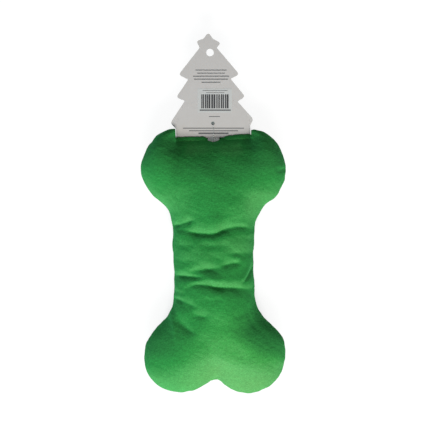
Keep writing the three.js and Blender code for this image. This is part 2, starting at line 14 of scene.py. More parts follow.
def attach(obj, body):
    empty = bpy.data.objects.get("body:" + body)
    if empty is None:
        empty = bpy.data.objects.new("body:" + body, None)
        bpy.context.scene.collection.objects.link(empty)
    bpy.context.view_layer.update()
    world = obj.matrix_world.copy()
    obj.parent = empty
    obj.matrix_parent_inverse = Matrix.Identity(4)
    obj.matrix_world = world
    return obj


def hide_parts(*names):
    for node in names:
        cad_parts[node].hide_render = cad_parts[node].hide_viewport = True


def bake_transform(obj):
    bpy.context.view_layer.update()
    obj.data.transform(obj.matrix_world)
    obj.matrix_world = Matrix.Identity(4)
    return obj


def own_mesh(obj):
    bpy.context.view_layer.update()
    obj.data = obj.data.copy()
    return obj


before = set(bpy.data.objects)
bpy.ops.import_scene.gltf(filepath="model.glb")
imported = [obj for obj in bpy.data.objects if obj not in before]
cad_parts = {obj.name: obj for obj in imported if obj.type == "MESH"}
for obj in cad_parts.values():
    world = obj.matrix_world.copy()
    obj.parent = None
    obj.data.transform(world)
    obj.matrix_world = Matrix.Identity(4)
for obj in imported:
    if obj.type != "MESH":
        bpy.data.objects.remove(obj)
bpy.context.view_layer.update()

MM = 0.001

# The bone, as the frame has it.
BONE_LENGTH = 300 * MM
SHAFT_HALF_WIDTH = 44.5 * MM
KNUCKLE_RADIUS = 44 * MM
KNUCKLE_SPREAD = 38 * MM
WAIST_RADIUS = 33 * MM
NOTCH_RADIUS = 9 * MM
PALM_RADIUS = 54 * MM
SEAM_Z = 28 * MM
SHAFT_CROWN = 30 * MM
PALM_CROWN = 30.5 * MM
KNUCKLE_CROWN = 29 * MM
FAR_PALM_CROWN = 28.5 * MM
FAR_KNUCKLE_CROWN = 25 * MM
UNDER_CROWN = 29.5 * MM
FIT = 0.3 * MM
FOOT_CROWN = 4 * MM
FOOT_SLOPE = 0.76
LEVEL_SHARE = 1.1
SIDE_SLOPE = 0.75
SLOPE_TIGHTNESS = 4

# The swing tag, as the frame has it.
TAG_FOOT_Y = 138.7 * MM
TAG_LEAN = radians(2.35)
TAG_HEIGHT = 118 * MM
TAG_HALF_WIDTH = 46 * MM
TRUNK_HALF_WIDTH = 42 * MM
TRUNK_HEIGHT = 12.2 * MM
CARD = 0.6 * MM
PEG_HOLE_RADIUS = 4.25 * MM
PEG_HOLE_UP = 0.82 * TAG_HEIGHT
PIN_HOLE_RADIUS = 2 * MM
PIN_HOLE_UP = 0.1415 * TAG_HEIGHT
TREE_CORNER_SHARES = [
    (1, 0.165, 0.1), (0.63, 0.34, 0.02), (0.82, 0.385, 0.07), (0.48, 0.56, 0.02), (0.7, 0.6, 0.07),
    (0.17, 0.863, 0.02), (0.27, 0.908, 0.05), (0.08, 0.953, 0.05), (-0.018, 1.016, 0.08),
    (-0.145, 0.956, 0.05), (-0.325, 0.935, 0.06), (-0.25, 0.87, 0.02), (-0.795, 0.62, 0.07),
    (-0.56, 0.57, 0.02), (-0.88, 0.403, 0.07), (-0.665, 0.368, 0.02), (-1.05, 0.16, 0.1),
]

# The photograph: real size of a pixel at the seam's height, and the pixel over the origin.
PIXEL = 1.132 * MM
ORIGIN_PX = (213.5, 260.5)
CENTRE_PX = (215, 215)
FRAME_PX = 430
CAMERA_DISTANCE = 2.0
SENSOR = 36.0

# Lamps: azimuth from the far end and elevation in degrees, distance, size, watts and colour.
LAMPS = {
    "key": (4, 42, 2.4, (1.6, 0.7), 81, (1, 1, 1)),
    "side": (-75, 16, 1.8, (1.2, 0.8), 10, (0.2, 0.62, 1)),
}
WHITE = (1, 1, 1, 1)
FILL_COLOUR, FILL_STRENGTH = (0.97, 1, 1, 1), 0.25
FLOOR_COLOUR, FLOOR_GLOW, FLOOR_WHITE_SHARE = (0.86, 0.86, 0.85, 1), 1.08, 0.86
FLOOR_HALF = 6.0
SHADOW_REACH, SHADOW_SHARES = 47 * MM, (0.15, 0.5)

TOY, TAG = "stuffed_bone", "hang_tag"
SEED = 7


def at_pixel(px, py):
    """The place in the frame under a pixel of the photograph."""
    return ((px - ORIGIN_PX[0]) * PIXEL, (ORIGIN_PX[1] - py) * PIXEL)


# Helpers for objects, modifiers and nodes.


def placed(name, data):
    """A new object in the scene."""
    piece = bpy.data.objects.new(name, data)
    bpy.context.scene.collection.objects.link(piece)
    return piece


def configure(thing, **values):
    for key, value in values.items():
        setattr(thing, key, value)


def new_object(name, vertices, faces, smooth=True):
    mesh = bpy.data.meshes.new(name)
    mesh.from_pydata([tuple(v) for v in vertices], [], [tuple(f) for f in faces])
    mesh.update()
    if smooth:
        mesh.shade_smooth()
    return placed(name, mesh)


def copy_of(piece, name):
    data = piece.data.copy()
    data.name = name
    return placed(name, data)


def drop(piece):
    mesh = piece.data
    bpy.data.objects.remove(piece)
    bpy.data.meshes.remove(mesh)


@contextmanager
def edited(piece):
    """The piece's mesh, open for editing."""
    mesh = bmesh.new()
    mesh.from_mesh(piece.data)
    yield mesh
    mesh.to_mesh(piece.data)
    mesh.free()


def turned_out(piece):
    """The piece with all its faces turned outwards."""
    with edited(piece) as mesh:
        bmesh.ops.recalc_face_normals(mesh, faces=mesh.faces[:])
    return piece


def bisect(mesh, place, facing, **options):
    everything = mesh.verts[:] + mesh.edges[:] + mesh.faces[:]
    bmesh.ops.bisect_plane(mesh, geom=everything, plane_co=place, plane_no=facing, **options)


def vectors_of(rows, name):
    flat = np.empty(len(rows) * 3)
    rows.foreach_get(name, flat)
    return flat.reshape(-1, 3)


def points_of(piece):
    return vectors_of(piece.data.vertices, "co")


def normals_of(piece):
    return vectors_of(piece.data.vertex_normals, "vector")


def set_points(piece, points):
    piece.data.vertices.foreach_set("co", points.astype(np.float32).ravel())
    piece.data.update()


def apply_modifiers(piece):
    graph = bpy.context.evaluated_depsgraph_get()
    mesh = bpy.data.meshes.new_from_object(piece.evaluated_get(graph))
    old = piece.data
    piece.modifiers.clear()
    piece.data = mesh
    bpy.data.meshes.remove(old)
    mesh.name = piece.name


def modify(piece, kind, **settings):
    """Gives the piece a modifier and applies it."""
    configure(piece.modifiers.new(kind, kind), **settings)
    apply_modifiers(piece)


def remesh(piece, voxel):
    modify(piece, "REMESH", mode="VOXEL", voxel_size=voxel, use_smooth_shade=True)


def cut(piece, tool, operation):
    modify(piece, "BOOLEAN", operation=operation, object=tool, solver="EXACT")


def ring_faces(rings, size, closed=False):
    """Faces between rings of points in turn, with the last joined to the first, or both capped."""
    faces = []
    for i in range(rings if closed else rings - 1):
        j = (i + 1) % rings
        for k in range(size):
            m = (k + 1) % size
            faces.append((i * size + k, i * size + m, j * size + m, j * size + k))
    if not closed:
        faces += [tuple(range(size))[::-1], tuple(range((rings - 1) * size, rings * size))]
    return faces


def give(tree, socket, value):
    """Sets a node's input, or links it where the value is another node's output."""
    if isinstance(value, bpy.types.NodeSocket):
        tree.links.new(value, socket)
    else:
        socket.default_value = value


def node_of(tree, kind, *first, **named):
    """A new shader node, with its first inputs, and its settings and other inputs by name."""
    node = tree.nodes.new("ShaderNode" + kind)
    for key, value in named.items():
        if hasattr(node, key):
            setattr(node, key, value)
        else:
            give(tree, node.inputs[key.replace("_", " ")], value)
    for socket, value in zip(node.inputs, first):
        give(tree, socket, value)
    return node


def ranged(tree, value, low, high, to_low, to_high, **settings):
    node = node_of(tree, "MapRange", value, low, high, to_low, to_high, **settings)
    return node.outputs["Result"]


def combined(tree, operation, a, b):
    return node_of(tree, "Math", a, b, operation=operation).outputs[0]


def emptied_tree(owner):
    owner.use_nodes = True
    owner.node_tree.nodes.clear()
    return owner.node_tree


# Camera, light and floor.


def make_camera():
    x, y = at_pixel(*CENTRE_PX)
    data = bpy.data.cameras.new("camera")
    lens = SENSOR * CAMERA_DISTANCE / (FRAME_PX * PIXEL)
    configure(data, sensor_width=SENSOR, lens=lens, clip_start=0.1, clip_end=20)
    camera = placed("camera", data)
    camera.location = (x, y, SEAM_Z + CAMERA_DISTANCE)
    bpy.context.scene.camera = camera


def make_lamp(name, azimuth, elevation, distance, size, watts, colour):
    """A soft area lamp that looks at the toy."""
    data = bpy.data.lights.new(name, "AREA")
    configure(data, shape="RECTANGLE", size=size[0], size_y=size[1], energy=watts, color=colour)
    a, e = radians(azimuth), radians(elevation)
    away = Vector((sin(a) * cos(e), -cos(a) * cos(e), sin(e)))
    lamp = placed(name, data)
    lamp.location = away * distance
    lamp.rotation_mode = "QUATERNION"
    lamp.rotation_quaternion = away.to_track_quat("Z", "Y")


def make_world():
    world = bpy.data.worlds.new("studio")
    bpy.context.scene.world = world
    tree = emptied_tree(world)
    seen = node_of(tree, "LightPath").outputs["Is Camera Ray"]
    fill = node_of(tree, "Background", Color=FILL_COLOUR, Strength=FILL_STRENGTH)
    white = node_of(tree, "Background", Color=WHITE, Strength=1)
    mix = node_of(tree, "MixShader", seen, fill.outputs[0], white.outputs[0])
    node_of(tree, "OutputWorld", mix.outputs[0])


def make_floor():
    """A wide pale floor, which shows white to the camera and keeps the toy's shadow."""
    corners = [(x * FLOOR_HALF, y * FLOOR_HALF, 0) for x, y in ((-1, -1), (1, -1), (1, 1), (-1, 1))]
    floor = new_object("floor", corners, [(0, 1, 2, 3)], smooth=False)
    material = bpy.data.materials.new("floor")
    tree = emptied_tree(material)
    seen = node_of(tree, "LightPath").outputs["Is Camera Ray"]
    sky = node_of(tree, "AmbientOcclusion", samples=8, Distance=SHADOW_REACH).outputs["AO"]
    sky = ranged(tree, sky, *SHADOW_SHARES, 0, FLOOR_WHITE_SHARE, interpolation_type="SMOOTHSTEP")
    paint = node_of(tree, "BsdfDiffuse", Color=FLOOR_COLOUR)
    glow = node_of(tree, "Emission", Color=WHITE, Strength=FLOOR_GLOW)
    share = combined(tree, "MULTIPLY", seen, sky)
    mix = node_of(tree, "MixShader", share, paint.outputs[0], glow.outputs[0])
    node_of(tree, "OutputMaterial", mix.outputs[0])
    floor.data.materials.append(material)


make_camera()
for name, values in LAMPS.items():
    make_lamp(name, *values)
make_world()
make_floor()
bpy.context.scene.view_settings.view_transform = "Standard"


# Easing and unevenness.


def smoothstep(low, high, value):
    t = np.clip((value - low) / (high - low), 0, 1)
    return t * t * (3 - 2 * t)


def lerp(a, b, t):
    return a + (b - a) * t


def fading(limits, value):
    """1 below both limits and 0 above them."""
    return 1 - smoothstep(*limits, value)


def bell(value, width):
    return np.exp(-((value / width) ** 2))


def soft_positive(value, softness):
    """The value where it is above zero, which eases to nothing below."""
    return 0.5 * (value + np.sqrt(value**2 + softness**2))


def waves(points, wavelength, count, seed):
    """Smooth unevenness between about -1 and 1: a few plane waves of near that wavelength."""
    draw = np.random.default_rng(seed)
    total = np.zeros(len(points))
    for _ in range(count):
        direction = draw.normal(size=3)
        direction /= np.linalg.norm(direction)
        length = wavelength * draw.uniform(0.75, 1.35)
        total += np.sin(points @ direction * (2 * pi / length) + draw.uniform(0, 2 * pi))
    return total / sqrt(count)


# The stuffed bone's outline and crowns, as in the frame but drawn finely.

half_length = BONE_LENGTH / 2
knuckle = np.array((KNUCKLE_SPREAD, half_length - KNUCKLE_RADIUS))
waist_x = SHAFT_HALF_WIDTH + WAIST_RADIUS
waist_drop = sqrt((KNUCKLE_RADIUS + WAIST_RADIUS) ** 2 - (waist_x - knuckle[0]) ** 2)
waist = np.array((waist_x, knuckle[1] - waist_drop))
notch_rise = sqrt((KNUCKLE_RADIUS + NOTCH_RADIUS) ** 2 - KNUCKLE_SPREAD**2)
notch = np.array((0, knuckle[1] + notch_rise))
palm = np.array((0, notch[1] - NOTCH_RADIUS - PALM_RADIUS))
OUTLINE_STEP = 2.4 * MM
CROWN_STEPS = 18


def arc(centre, radius, start, end, spine_of):
    """Points (x, y, spine x, spine y, share of the way along a branch) along an arc, without its end."""
    steps = max(2, round(abs(end - start) * radius / OUTLINE_STEP))
    rows = []
    for i in range(steps):
        angle = lerp(start, end, i / steps)
        spine = spine_of(i / steps)
        rows.append((centre[0] + radius * cos(angle), centre[1] + radius * sin(angle), *spine))
    return rows


def on_branch(share):
    return (*lerp(palm, knuckle, share), share)


def on_shaft(share):
    return (0, lerp(waist[1], palm[1], share), 0)


def quarter_outline(inset):
    """From the middle of the shaft's right edge to the notch at the tag end."""
    to_waist = atan2(waist[1] - knuckle[1], waist[0] - knuckle[0])
    to_notch = atan2(notch[1] - knuckle[1], notch[0] - knuckle[0])
    straight = round(waist[1] / OUTLINE_STEP)
    edge = SHAFT_HALF_WIDTH - inset
    rows = [(edge, waist[1] * i / straight, 0, waist[1] * i / straight, 0) for i in range(straight)]
    rows += arc(waist, WAIST_RADIUS + inset, pi, pi + to_waist, on_shaft)
    rows += arc(knuckle, KNUCKLE_RADIUS - inset, to_waist, 0, on_branch)
    rows += arc(knuckle, KNUCKLE_RADIUS - inset, 0, pi / 2, lambda _: on_branch(1))
    rows += arc(knuckle, KNUCKLE_RADIUS - inset, pi / 2, to_notch, lambda s: on_branch(1 - s))
    rows += arc(notch, NOTCH_RADIUS + inset, to_notch - pi, -pi / 2, lambda _: on_branch(0))
    rows.append((0, notch[1] - NOTCH_RADIUS - inset, *on_branch(0)))
    return np.array(rows)


def whole_outline(inset):
    quarter = quarter_outline(inset)
    back = quarter[::-1]
    signs = [(-1, 1, -1, 1, 1), (-1, -1, -1, -1, 1), (1, -1, 1, -1, 1)]
    left, over, right = (np.array(row) for row in signs)
    return np.concatenate([quarter, (back * left)[1:], (quarter * over)[1:], (back * right)[1:-1]])


def crown_over(outline, inset, side):
    """Height of the crown over each outline point's place on the spine."""
    if side < 0:
        return np.full(len(outline), UNDER_CROWN - inset)
    far = outline[:, 3] < 0
    palm_crown = np.where(far, FAR_PALM_CROWN, PALM_CROWN)
    knuckle_crown = np.where(far, FAR_KNUCKLE_CROWN, KNUCKLE_CROWN)
    along = smoothstep(waist[1], palm[1], np.abs(outline[:, 3]))
    shaft = lerp(SHAFT_CROWN, palm_crown, along)
    branch = lerp(palm_crown, knuckle_crown, outline[:, 4])
    return np.where(outline[:, 4] > 0, branch, shaft) - inset


def tag_frame(points):
    """Across the card, up it from its foot, and out of its face."""
    c, s = cos(TAG_LEAN), sin(TAG_LEAN)
    x, y = points[:, 0], points[:, 1] - TAG_FOOT_Y
    return c * x + s * y, -s * x + c * y, points[:, 2] - SEAM_Z


def from_tag_frame(u, v, w):
    c, s = cos(TAG_LEAN), sin(TAG_LEAN)
    return np.stack([c * u - s * v, s * u + c * v + TAG_FOOT_Y, w + SEAM_Z], axis=1)


def settled(points, inset):
    """The back held down to the slope that rises from the card's foot."""
    u, v, w = tag_frame(points)
    beside = np.maximum(np.abs(u) - LEVEL_SHARE * KNUCKLE_SPREAD, 0)
    slope = FOOT_CROWN + FOOT_SLOPE * np.maximum(-v, 0) + SIDE_SLOPE * beside - inset
    limit, up = np.maximum(slope, FIT), np.maximum(w, 0)
    both = up**SLOPE_TIGHTNESS + limit**SLOPE_TIGHTNESS
    return from_tag_frame(u, v, np.where(w > 0, up * limit / both ** (1 / SLOPE_TIGHTNESS), w))


TUCK_SIDE = 1.5 * MM
TUCK_FOOT = 0.8 * MM
TUCK_SLANT = 0.12
TUCK_REACH = 60 * MM
WELD = 0.01 * MM


def card_room(inset):
    """The room that the card's foot needs between the two knuckles: a wedge open to the tag's side."""
    half = TRUNK_HALF_WIDTH + TUCK_SIDE + inset
    foot, slant, reach = -TUCK_FOOT - inset, TUCK_SLANT * TUCK_REACH, TUCK_REACH
    profile = [(foot, 0), (foot + slant, -reach), (reach, -reach), (reach, reach), (foot + slant, reach)]
    count = len(profile)
    v, w = np.array(profile * 2).T
    points = from_tag_frame(np.repeat((-half, half), count), v, w)
    return turned_out(new_object("card_room", points, ring_faces(2, count), smooth=False))


def stuffed_mesh(name, inset, voxel):
    """The closed stuffed shape, drawn in by inset and remeshed evenly."""
    outline = whole_outline(inset)
    count = len(outline)
    spine, reach_out = outline[:, 2:4], outline[:, :2] - outline[:, 2:4]
    vertices, faces = [], []
    for side in (1, -1):
        crown = crown_over(outline, inset, side)
        base = len(vertices)
        for k in range(CROWN_STEPS + 1):
            angle = pi / 2 * k / CROWN_STEPS
            x, y = (spine + reach_out * (cos(angle) if k < CROWN_STEPS else 0)).T
            z = SEAM_Z + side * crown * sin(angle)
            vertices += list(settled(np.stack([x, y, z], axis=1), inset))
        for k in range(CROWN_STEPS):
            for i in range(count):
                j = (i + 1) % count
                a, b = base + k * count + i, base + k * count + j
                c, d = base + (k + 1) * count + j, base + (k + 1) * count + i
                faces.append((a, b, c, d) if side > 0 else (a, d, c, b))
    piece = new_object(name, vertices, faces)
    with edited(piece) as mesh:
        bmesh.ops.remove_doubles(mesh, verts=mesh.verts, dist=WELD)
    remesh(piece, voxel)
    room = card_room(inset)
    cut(piece, room, "DIFFERENCE")
    drop(room)
    remesh(piece, voxel)
    return piece


# Folds, as the photograph shows them: pixels from left to right, then in millimetres the depth,
# the reach of the slope on the tag's side and on the far side, and how round the valley's bottom
# is. A negative depth is a raised fold.
FOLDS = [
    ([(166, 228), (175, 225.2), (184, 223), (190, 221), (198, 219.6)], 2.8, 2.8, 3.4, 0.9),
    (
        [
            (174, 227.4), (182, 229.8), (194, 232.2), (208, 233.3), (217, 232.3), (222, 229.9),
            (229, 227.6), (240, 226.4), (258, 229),
        ],
        4.6, 3.5, 4.2, 0.9,
    ),
    ([(176, 244.8), (186, 245.2), (195, 246)], 1.0, 3.4, 3.2, 2.0),
    ([(196, 243.8), (206, 245), (218, 245.3), (231, 244)], 1.5, 3.6, 3.4, 1.8),
    ([(226, 253.9), (238, 252.9), (256, 252.6)], 1.6, 3.4, 3.2, 1.4),
    ([(186, 271.8), (198, 269.8), (208, 268.2), (217, 267.6), (225, 267)], 3.3, 3.4, 4.2, 1.3),
    ([(219, 265.8), (226, 264.1), (233, 262.6), (243, 262.6)], 2.6, 2.8, 3.5, 1.0),
    ([(168, 274.2), (177, 275), (192, 275.8), (208, 277)], 3.3, 2.7, 3.2, 0.8),
    (
        [
            (183, 290.4), (188, 287.2), (193.6, 284.5), (201, 283.6), (209.5, 284.4), (216, 286),
            (228, 286.7), (240, 287), (258, 289.4),
        ],
        4.5, 3.0, 4.1, 0.7,
    ),
    ([(232, 290.4), (242, 291.2), (256, 292.4)], 1.2, 3.6, 3.8, 1.8),
    ([(170, 297), (178, 298.8), (187, 302), (198, 307)], 2.7, 2.5, 4.2, 0.9),
    ([(172, 290), (180, 292.4), (188, 293)], 0.9, 2.6, 3.0, 1.4),
    ([(190, 313), (200, 314.6), (212, 315.4)], 1.0, 3.6, 3.8, 2.4),
    ([(170, 300), (172.6, 312), (173.8, 322), (175.4, 333), (179, 346)], -1.4, 2.6, 2.4, 1.0),
    ([(173, 306), (179, 318), (187, 327), (199, 334)], 1.6, 3.2, 4.0, 1.4),
    ([(230, 317.6), (238, 315), (248, 310)], 0.7, 3.4, 3.6, 2.4),
    ([(250, 300), (251, 312), (255, 326), (262, 336)], 1.0, 3.4, 3.4, 2.0),
    ([(240.5, 285), (245, 280.5), (249.5, 274), (252.5, 267), (253, 257)], 2.0, 1.5, 1.8, 0.4),
    ([(243, 236.6), (254, 232.6)], -0.5, 2.0, 2.0, 1.0),
    ([(276, 172), (282, 170.2), (290, 167.6)], 1.4, 1.8, 1.6, 0.6),
    ([(228, 221.5), (238, 218.6), (250, 220.5)], 1.3, 5.0, 3.8, 2.2),
    ([(176, 262), (188, 259.6), (202, 260.4)], 0.8, 3.6, 3.4, 2.0),
    ([(206, 255), (218, 257.6), (230, 259.8)], 0.8, 3.6, 3.4, 2.0),
    ([(196, 298.6), (210, 299.6), (226, 297.4)], 0.8, 4.0, 3.6, 2.2),
]

# The unseen front has a few folds of the same kind.
FRONT_FOLDS = [
    ([(168, 226), (190, 230), (212, 227), (232, 231), (258, 229)], 1.9, 3.0, 2.6, 0.9),
    ([(172, 250), (188, 247), (204, 249)], 1.2, 3.0, 2.6, 1.6),
    ([(214, 262), (236, 259), (256, 263)], 1.6, 3.0, 2.6, 1.2),
    ([(168, 284), (196, 288), (222, 284), (246, 287), (258, 285)], 2.0, 3.2, 2.6, 0.9),
    ([(174, 306), (188, 312), (200, 322)], 1.2, 3.0, 3.0, 1.6),
    ([(254, 304), (242, 312), (232, 322)], 1.2, 3.0, 3.0, 1.6),
]

# How far the outline stands out from the plain bone: pixel row, millimetres to the right.
RIGHT_EDGE = [
    (186, 0), (200, 4.5), (209, 5.6), (218, 4.4), (228, 2.4), (240, 1), (256, -0.8), (270, 0.3),
    (282, 2.2), (300, 3.2), (314, 2.6), (325, -0.6), (338, 1.6), (350, 0.8), (362, 0),
]
LEFT_EDGE = [
    (190, 0), (200, -3), (208, -3), (222, -2.2), (230, -0.3), (262, -0.6), (285, -1.1), (300, -0.3),
    (312, 0.8), (322, 4.2), (330, 5.6), (340, 3.8), (360, 3.4), (372, 2.4), (382, 3), (390, 1),
]

# A fold's ends, in shares of its length and its reach, its unevenness, and how steep its far side
# is; then the bulges beside it, in shares of its depth and its reaches.
FOLD_STEPS = 5
FOLD_END, FOLD_END_REACH = 0.34, 0.6
FOLD_UNEVENNESS, FOLD_WAVES = 0.22, (17 * MM, 5, SEED + 5)
FAR_STEEPNESS = 1.3
BULGE, FAR_BULGE = 0.36, 0.5
BULGE_PLACE, FAR_BULGE_PLACE, BULGE_WIDTH = 2.6, 2.8, 2.2
FACE_FROM, FACE_FULL = 1 * MM, 9 * MM


def distance_to_path(points, path):
    """Signed distance in plan to a path (positive on its +Y side), and the share of its length."""
    x, y = points[:, 0], points[:, 1]
    best = np.full(len(points), np.inf)
    signed = np.zeros(len(points))
    share = np.zeros(len(points))
    lengths = [dist(a, b) for a, b in zip(path, path[1:])]
    walked = 0
    for (ax, ay), (bx, by), length in zip(path, path[1:], lengths):
        dx, dy = (bx - ax) / length, (by - ay) / length
        along = np.clip((x - ax) * dx + (y - ay) * dy, 0, length)
        gap_x, gap_y = x - ax - dx * along, y - ay - dy * along
        gap = np.hypot(gap_x, gap_y)
        side = np.where(dx * gap_y - dy * gap_x >= 0, 1, -1)
        nearer = gap < best
        best = np.where(nearer, gap, best)
        signed = np.where(nearer, gap * side, signed)
        share = np.where(nearer, (walked + along) / sum(lengths), share)
        walked += length
    return signed, share


def smooth_path(points, steps):
    """A Catmull-Rom curve through the points."""
    p = np.array([points[0], *points, points[-1]], float)
    rows = []
    for i in range(1, len(p) - 2):
        for s in np.arange(steps) / steps:
            even = 2 * p[i] + (2 * p[i - 1] - 5 * p[i] + 4 * p[i + 1] - p[i + 2]) * s**2
            odd = (p[i + 1] - p[i - 1]) * s + (3 * (p[i] - p[i + 1]) + p[i + 2] - p[i - 1]) * s**3
            rows.append((even + odd) / 2)
    rows.append(p[-2])
    return [tuple(row) for row in rows]


def fold_offset(points, pixels, *sizes):
    """How far a fold moves each point along its normal."""
    depth, north, south, roundness = (size * MM for size in sizes)
    path = smooth_path([at_pixel(*pixel) for pixel in pixels], FOLD_STEPS)
    signed, share = distance_to_path(points, path)
    taper = smoothstep(0, FOLD_END, share) * smoothstep(0, FOLD_END, 1 - share)
    variation = 1 + FOLD_UNEVENNESS * waves(points, *FOLD_WAVES)
    reach = np.where(signed > 0, north, south) * lerp(FOLD_END_REACH, 1, taper)
    steps = (np.sqrt(signed**2 + roundness**2) - roundness) / reach
    valley = np.exp(-(steps ** np.where(signed > 0, 1, FAR_STEEPNESS)))
    bulge = bell(signed - BULGE_PLACE * north, BULGE_WIDTH * north)
    bulge += FAR_BULGE * bell(signed + FAR_BULGE_PLACE * south, BULGE_WIDTH * south)
    return depth * taper * variation * (BULGE * bulge - valley)


def fold_relief(points):
    """All the folds of both faces together."""
    high = smoothstep(SEAM_Z + FACE_FROM, SEAM_Z + FACE_FULL, points[:, 2])
    low = smoothstep(SEAM_Z - FACE_FROM, SEAM_Z - FACE_FULL, points[:, 2])
    back = sum(fold_offset(points, *fold) for fold in FOLDS)
    front = sum(fold_offset(points, *fold) for fold in FRONT_FOLDS)
    return high * back + low * front


# Sculpting the plush.

# Unevenness: height, wavelength, number of waves and draw.
UNEVENNESS = [(0.8 * MM, 62 * MM, 7, SEED), (0.32 * MM, 25 * MM, 8, SEED + 1)]
PUCKERS, PUCKER_REACH = (0.3 * MM, 12 * MM, 6, SEED + 3), 8 * MM
PILE_UNEVENNESS = (0.07 * MM, 6 * MM, 10, SEED + 4)
GROOVE_DEPTH, GROOVE_WIDTH = 1.3 * MM, 1.5 * MM
FLOOR_SOFTNESS, FLOOR_SINK_SHARE = 1.2 * MM, 0.02
# How the edge tables are smoothed, where the flanks begin, and the shifts that shape the two
# notches: how far, where across, and how wide.
EDGE_OVERRUN, EDGE_SAMPLES, EDGE_WINDOW = 10 * MM, 400, 25
FLANK = (10 * MM, 44 * MM)
FAR_NOTCH, FAR_NOTCH_ALONG = (2.6 * MM, 16 * MM), (-112 * MM, -134 * MM)
TAG_NOTCH = [(1.9 * MM, 0, 6 * MM), (-0.7 * MM, 0, 2 * MM), (-0.8 * MM, -8.5 * MM, 3 * MM)]
TAG_NOTCH_ALONG = (122 * MM, 133 * MM)
# The tuck that holds the card's foot: its plush thins behind the foot, and an ear of plush on each
# side leans to the card.
TUCK_EDGE = TRUNK_HALF_WIDTH + TUCK_SIDE
THINNING, THINNING_REACH = 0.5, 5 * MM
THINNING_EDGE = (TRUNK_HALF_WIDTH - 1 * MM, TRUNK_HALF_WIDTH + 1.5 * MM)
EAR_WIDTH, EAR_LEAN, LEFT_EAR_RISE = 2.4 * MM, 1.7 * MM, 1.1 * MM
EAR_ACROSS, EAR_ALONG = (TUCK_EDGE - 1 * MM, TUCK_EDGE - 0.4 * MM), (-4 * MM, -0.5 * MM)
EAR_UP = (-1 * MM, 0.5 * MM)
# The card's swing, and the room beside its foot and, higher up, beside its full width.
SWING, SWING_GAP, SWING_SOFTNESS = radians(78), 0.3 * MM, 0.25 * MM
SWING_EDGE = (TRUNK_HALF_WIDTH + 0.2 * MM, TRUNK_HALF_WIDTH + 0.8 * MM)
WIDE_EDGE, WIDE_UP = (49 * MM, 51 * MM), (10.5 * MM, 12.5 * MM)
NEAR_CARD = (-6 * MM, -1.5 * MM)
EAR_GAP, EAR_OVER, EAR_BESIDE = 0.7 * MM, (0.3 * MM, 1.2 * MM), (-2 * MM, -1 * MM)


def close_tuck(points):
    """Thins the back's plush behind the card's foot and closes the tuck's sides."""
    u, v, w = tag_frame(points)
    across = np.abs(u)
    thinning = THINNING * fading(THINNING_EDGE, across) * bell(v, THINNING_REACH)
    beside = bell(across - TUCK_EDGE, EAR_WIDTH) * smoothstep(*EAR_ACROSS, across)
    beside *= smoothstep(*EAR_ALONG, v) * smoothstep(*EAR_UP, w)
    risen = v + LEFT_EAR_RISE * beside * (u < 0)
    thinned = np.where(w > 0, w * (1 - thinning), w)
    return from_tag_frame(u - np.sign(u) * EAR_LEAN * beside, risen, thinned)


def leave_room(points):
    """Draws the plush back from where the card passes as it swings."""
    u, v, w = tag_frame(points)
    across, away = np.abs(u), np.abs(w)
    high = smoothstep(*WIDE_UP, away)
    in_way = np.maximum(fading(SWING_EDGE, across), fading(WIDE_EDGE, across) * high)
    over = v - (away / tan(SWING) - CARD / 2 - SWING_GAP)
    back = soft_positive(over, SWING_SOFTNESS) * in_way
    ear = smoothstep(*EAR_OVER, over) * smoothstep(*EAR_BESIDE, across - TRUNK_HALF_WIDTH)
    ear *= 1 - high
    beside = np.maximum(across, TRUNK_HALF_WIDTH + EAR_GAP)
    drawn = v - back * smoothstep(*NEAR_CARD, v) * (1 - ear)
    return from_tag_frame(np.sign(u) * lerp(across, beside, ear), drawn, w)


def edge_shift(table, height):
    """The smooth course of an edge table over Y."""
    rows = sorted((at_pixel(0, row)[1], shift * MM) for row, shift in table)
    fine = np.linspace(rows[0][0] - EDGE_OVERRUN, rows[-1][0] + EDGE_OVERRUN, EDGE_SAMPLES)
    course = np.interp(fine, *zip(*rows))
    window = np.hanning(EDGE_WINDOW)
    course = np.convolve(course, window / window.sum(), mode="same")
    return np.interp(height, fine, course)


def follow_outline(points):
    """Moves the plain bone's flanks and notches to the outline that the photograph shows."""
    x, y = points[:, 0], points[:, 1]
    shift = np.where(x > 0, edge_shift(RIGHT_EDGE, y), edge_shift(LEFT_EDGE, y))
    far_notch = FAR_NOTCH[0] * bell(x, FAR_NOTCH[1]) * smoothstep(*FAR_NOTCH_ALONG, y)
    tag_notch = sum(reach * bell(x - place, width) for reach, place, width in TAG_NOTCH)
    tag_notch = tag_notch * smoothstep(*TAG_NOTCH_ALONG, y)
    across = smoothstep(*FLANK, np.abs(x)) * shift + far_notch
    return points + np.stack([across, tag_notch, 0 * x], axis=1)


def uneven(points, height, *waviness):
    return height * waves(points, *waviness)


def sculpt(piece):
    """The outline, unevenness, folds, and the seam's groove with its puckers."""
    points = follow_outline(points_of(piece))
    set_points(piece, points)
    from_seam = points[:, 2] - SEAM_Z
    offset = sum(uneven(points, *row) for row in UNEVENNESS)
    offset += bell(from_seam, PUCKER_REACH) * uneven(points, *PUCKERS)
    offset += uneven(points, *PILE_UNEVENNESS)
    offset += fold_relief(points)
    offset -= GROOVE_DEPTH * bell(from_seam, GROOVE_WIDTH)
    points = points + normals_of(piece) * offset[:, None]
    points[:, 2] = soft_positive(points[:, 2], FLOOR_SOFTNESS) - FLOOR_SINK_SHARE * FLOOR_SOFTNESS
    set_points(piece, leave_room(close_tuck(points)))


# Stuffing the plush: a coarse copy is blown up as cloth that is held along the seam, in the folds'
# valleys and round the card's foot, and its swell is carried over to the fine mesh.

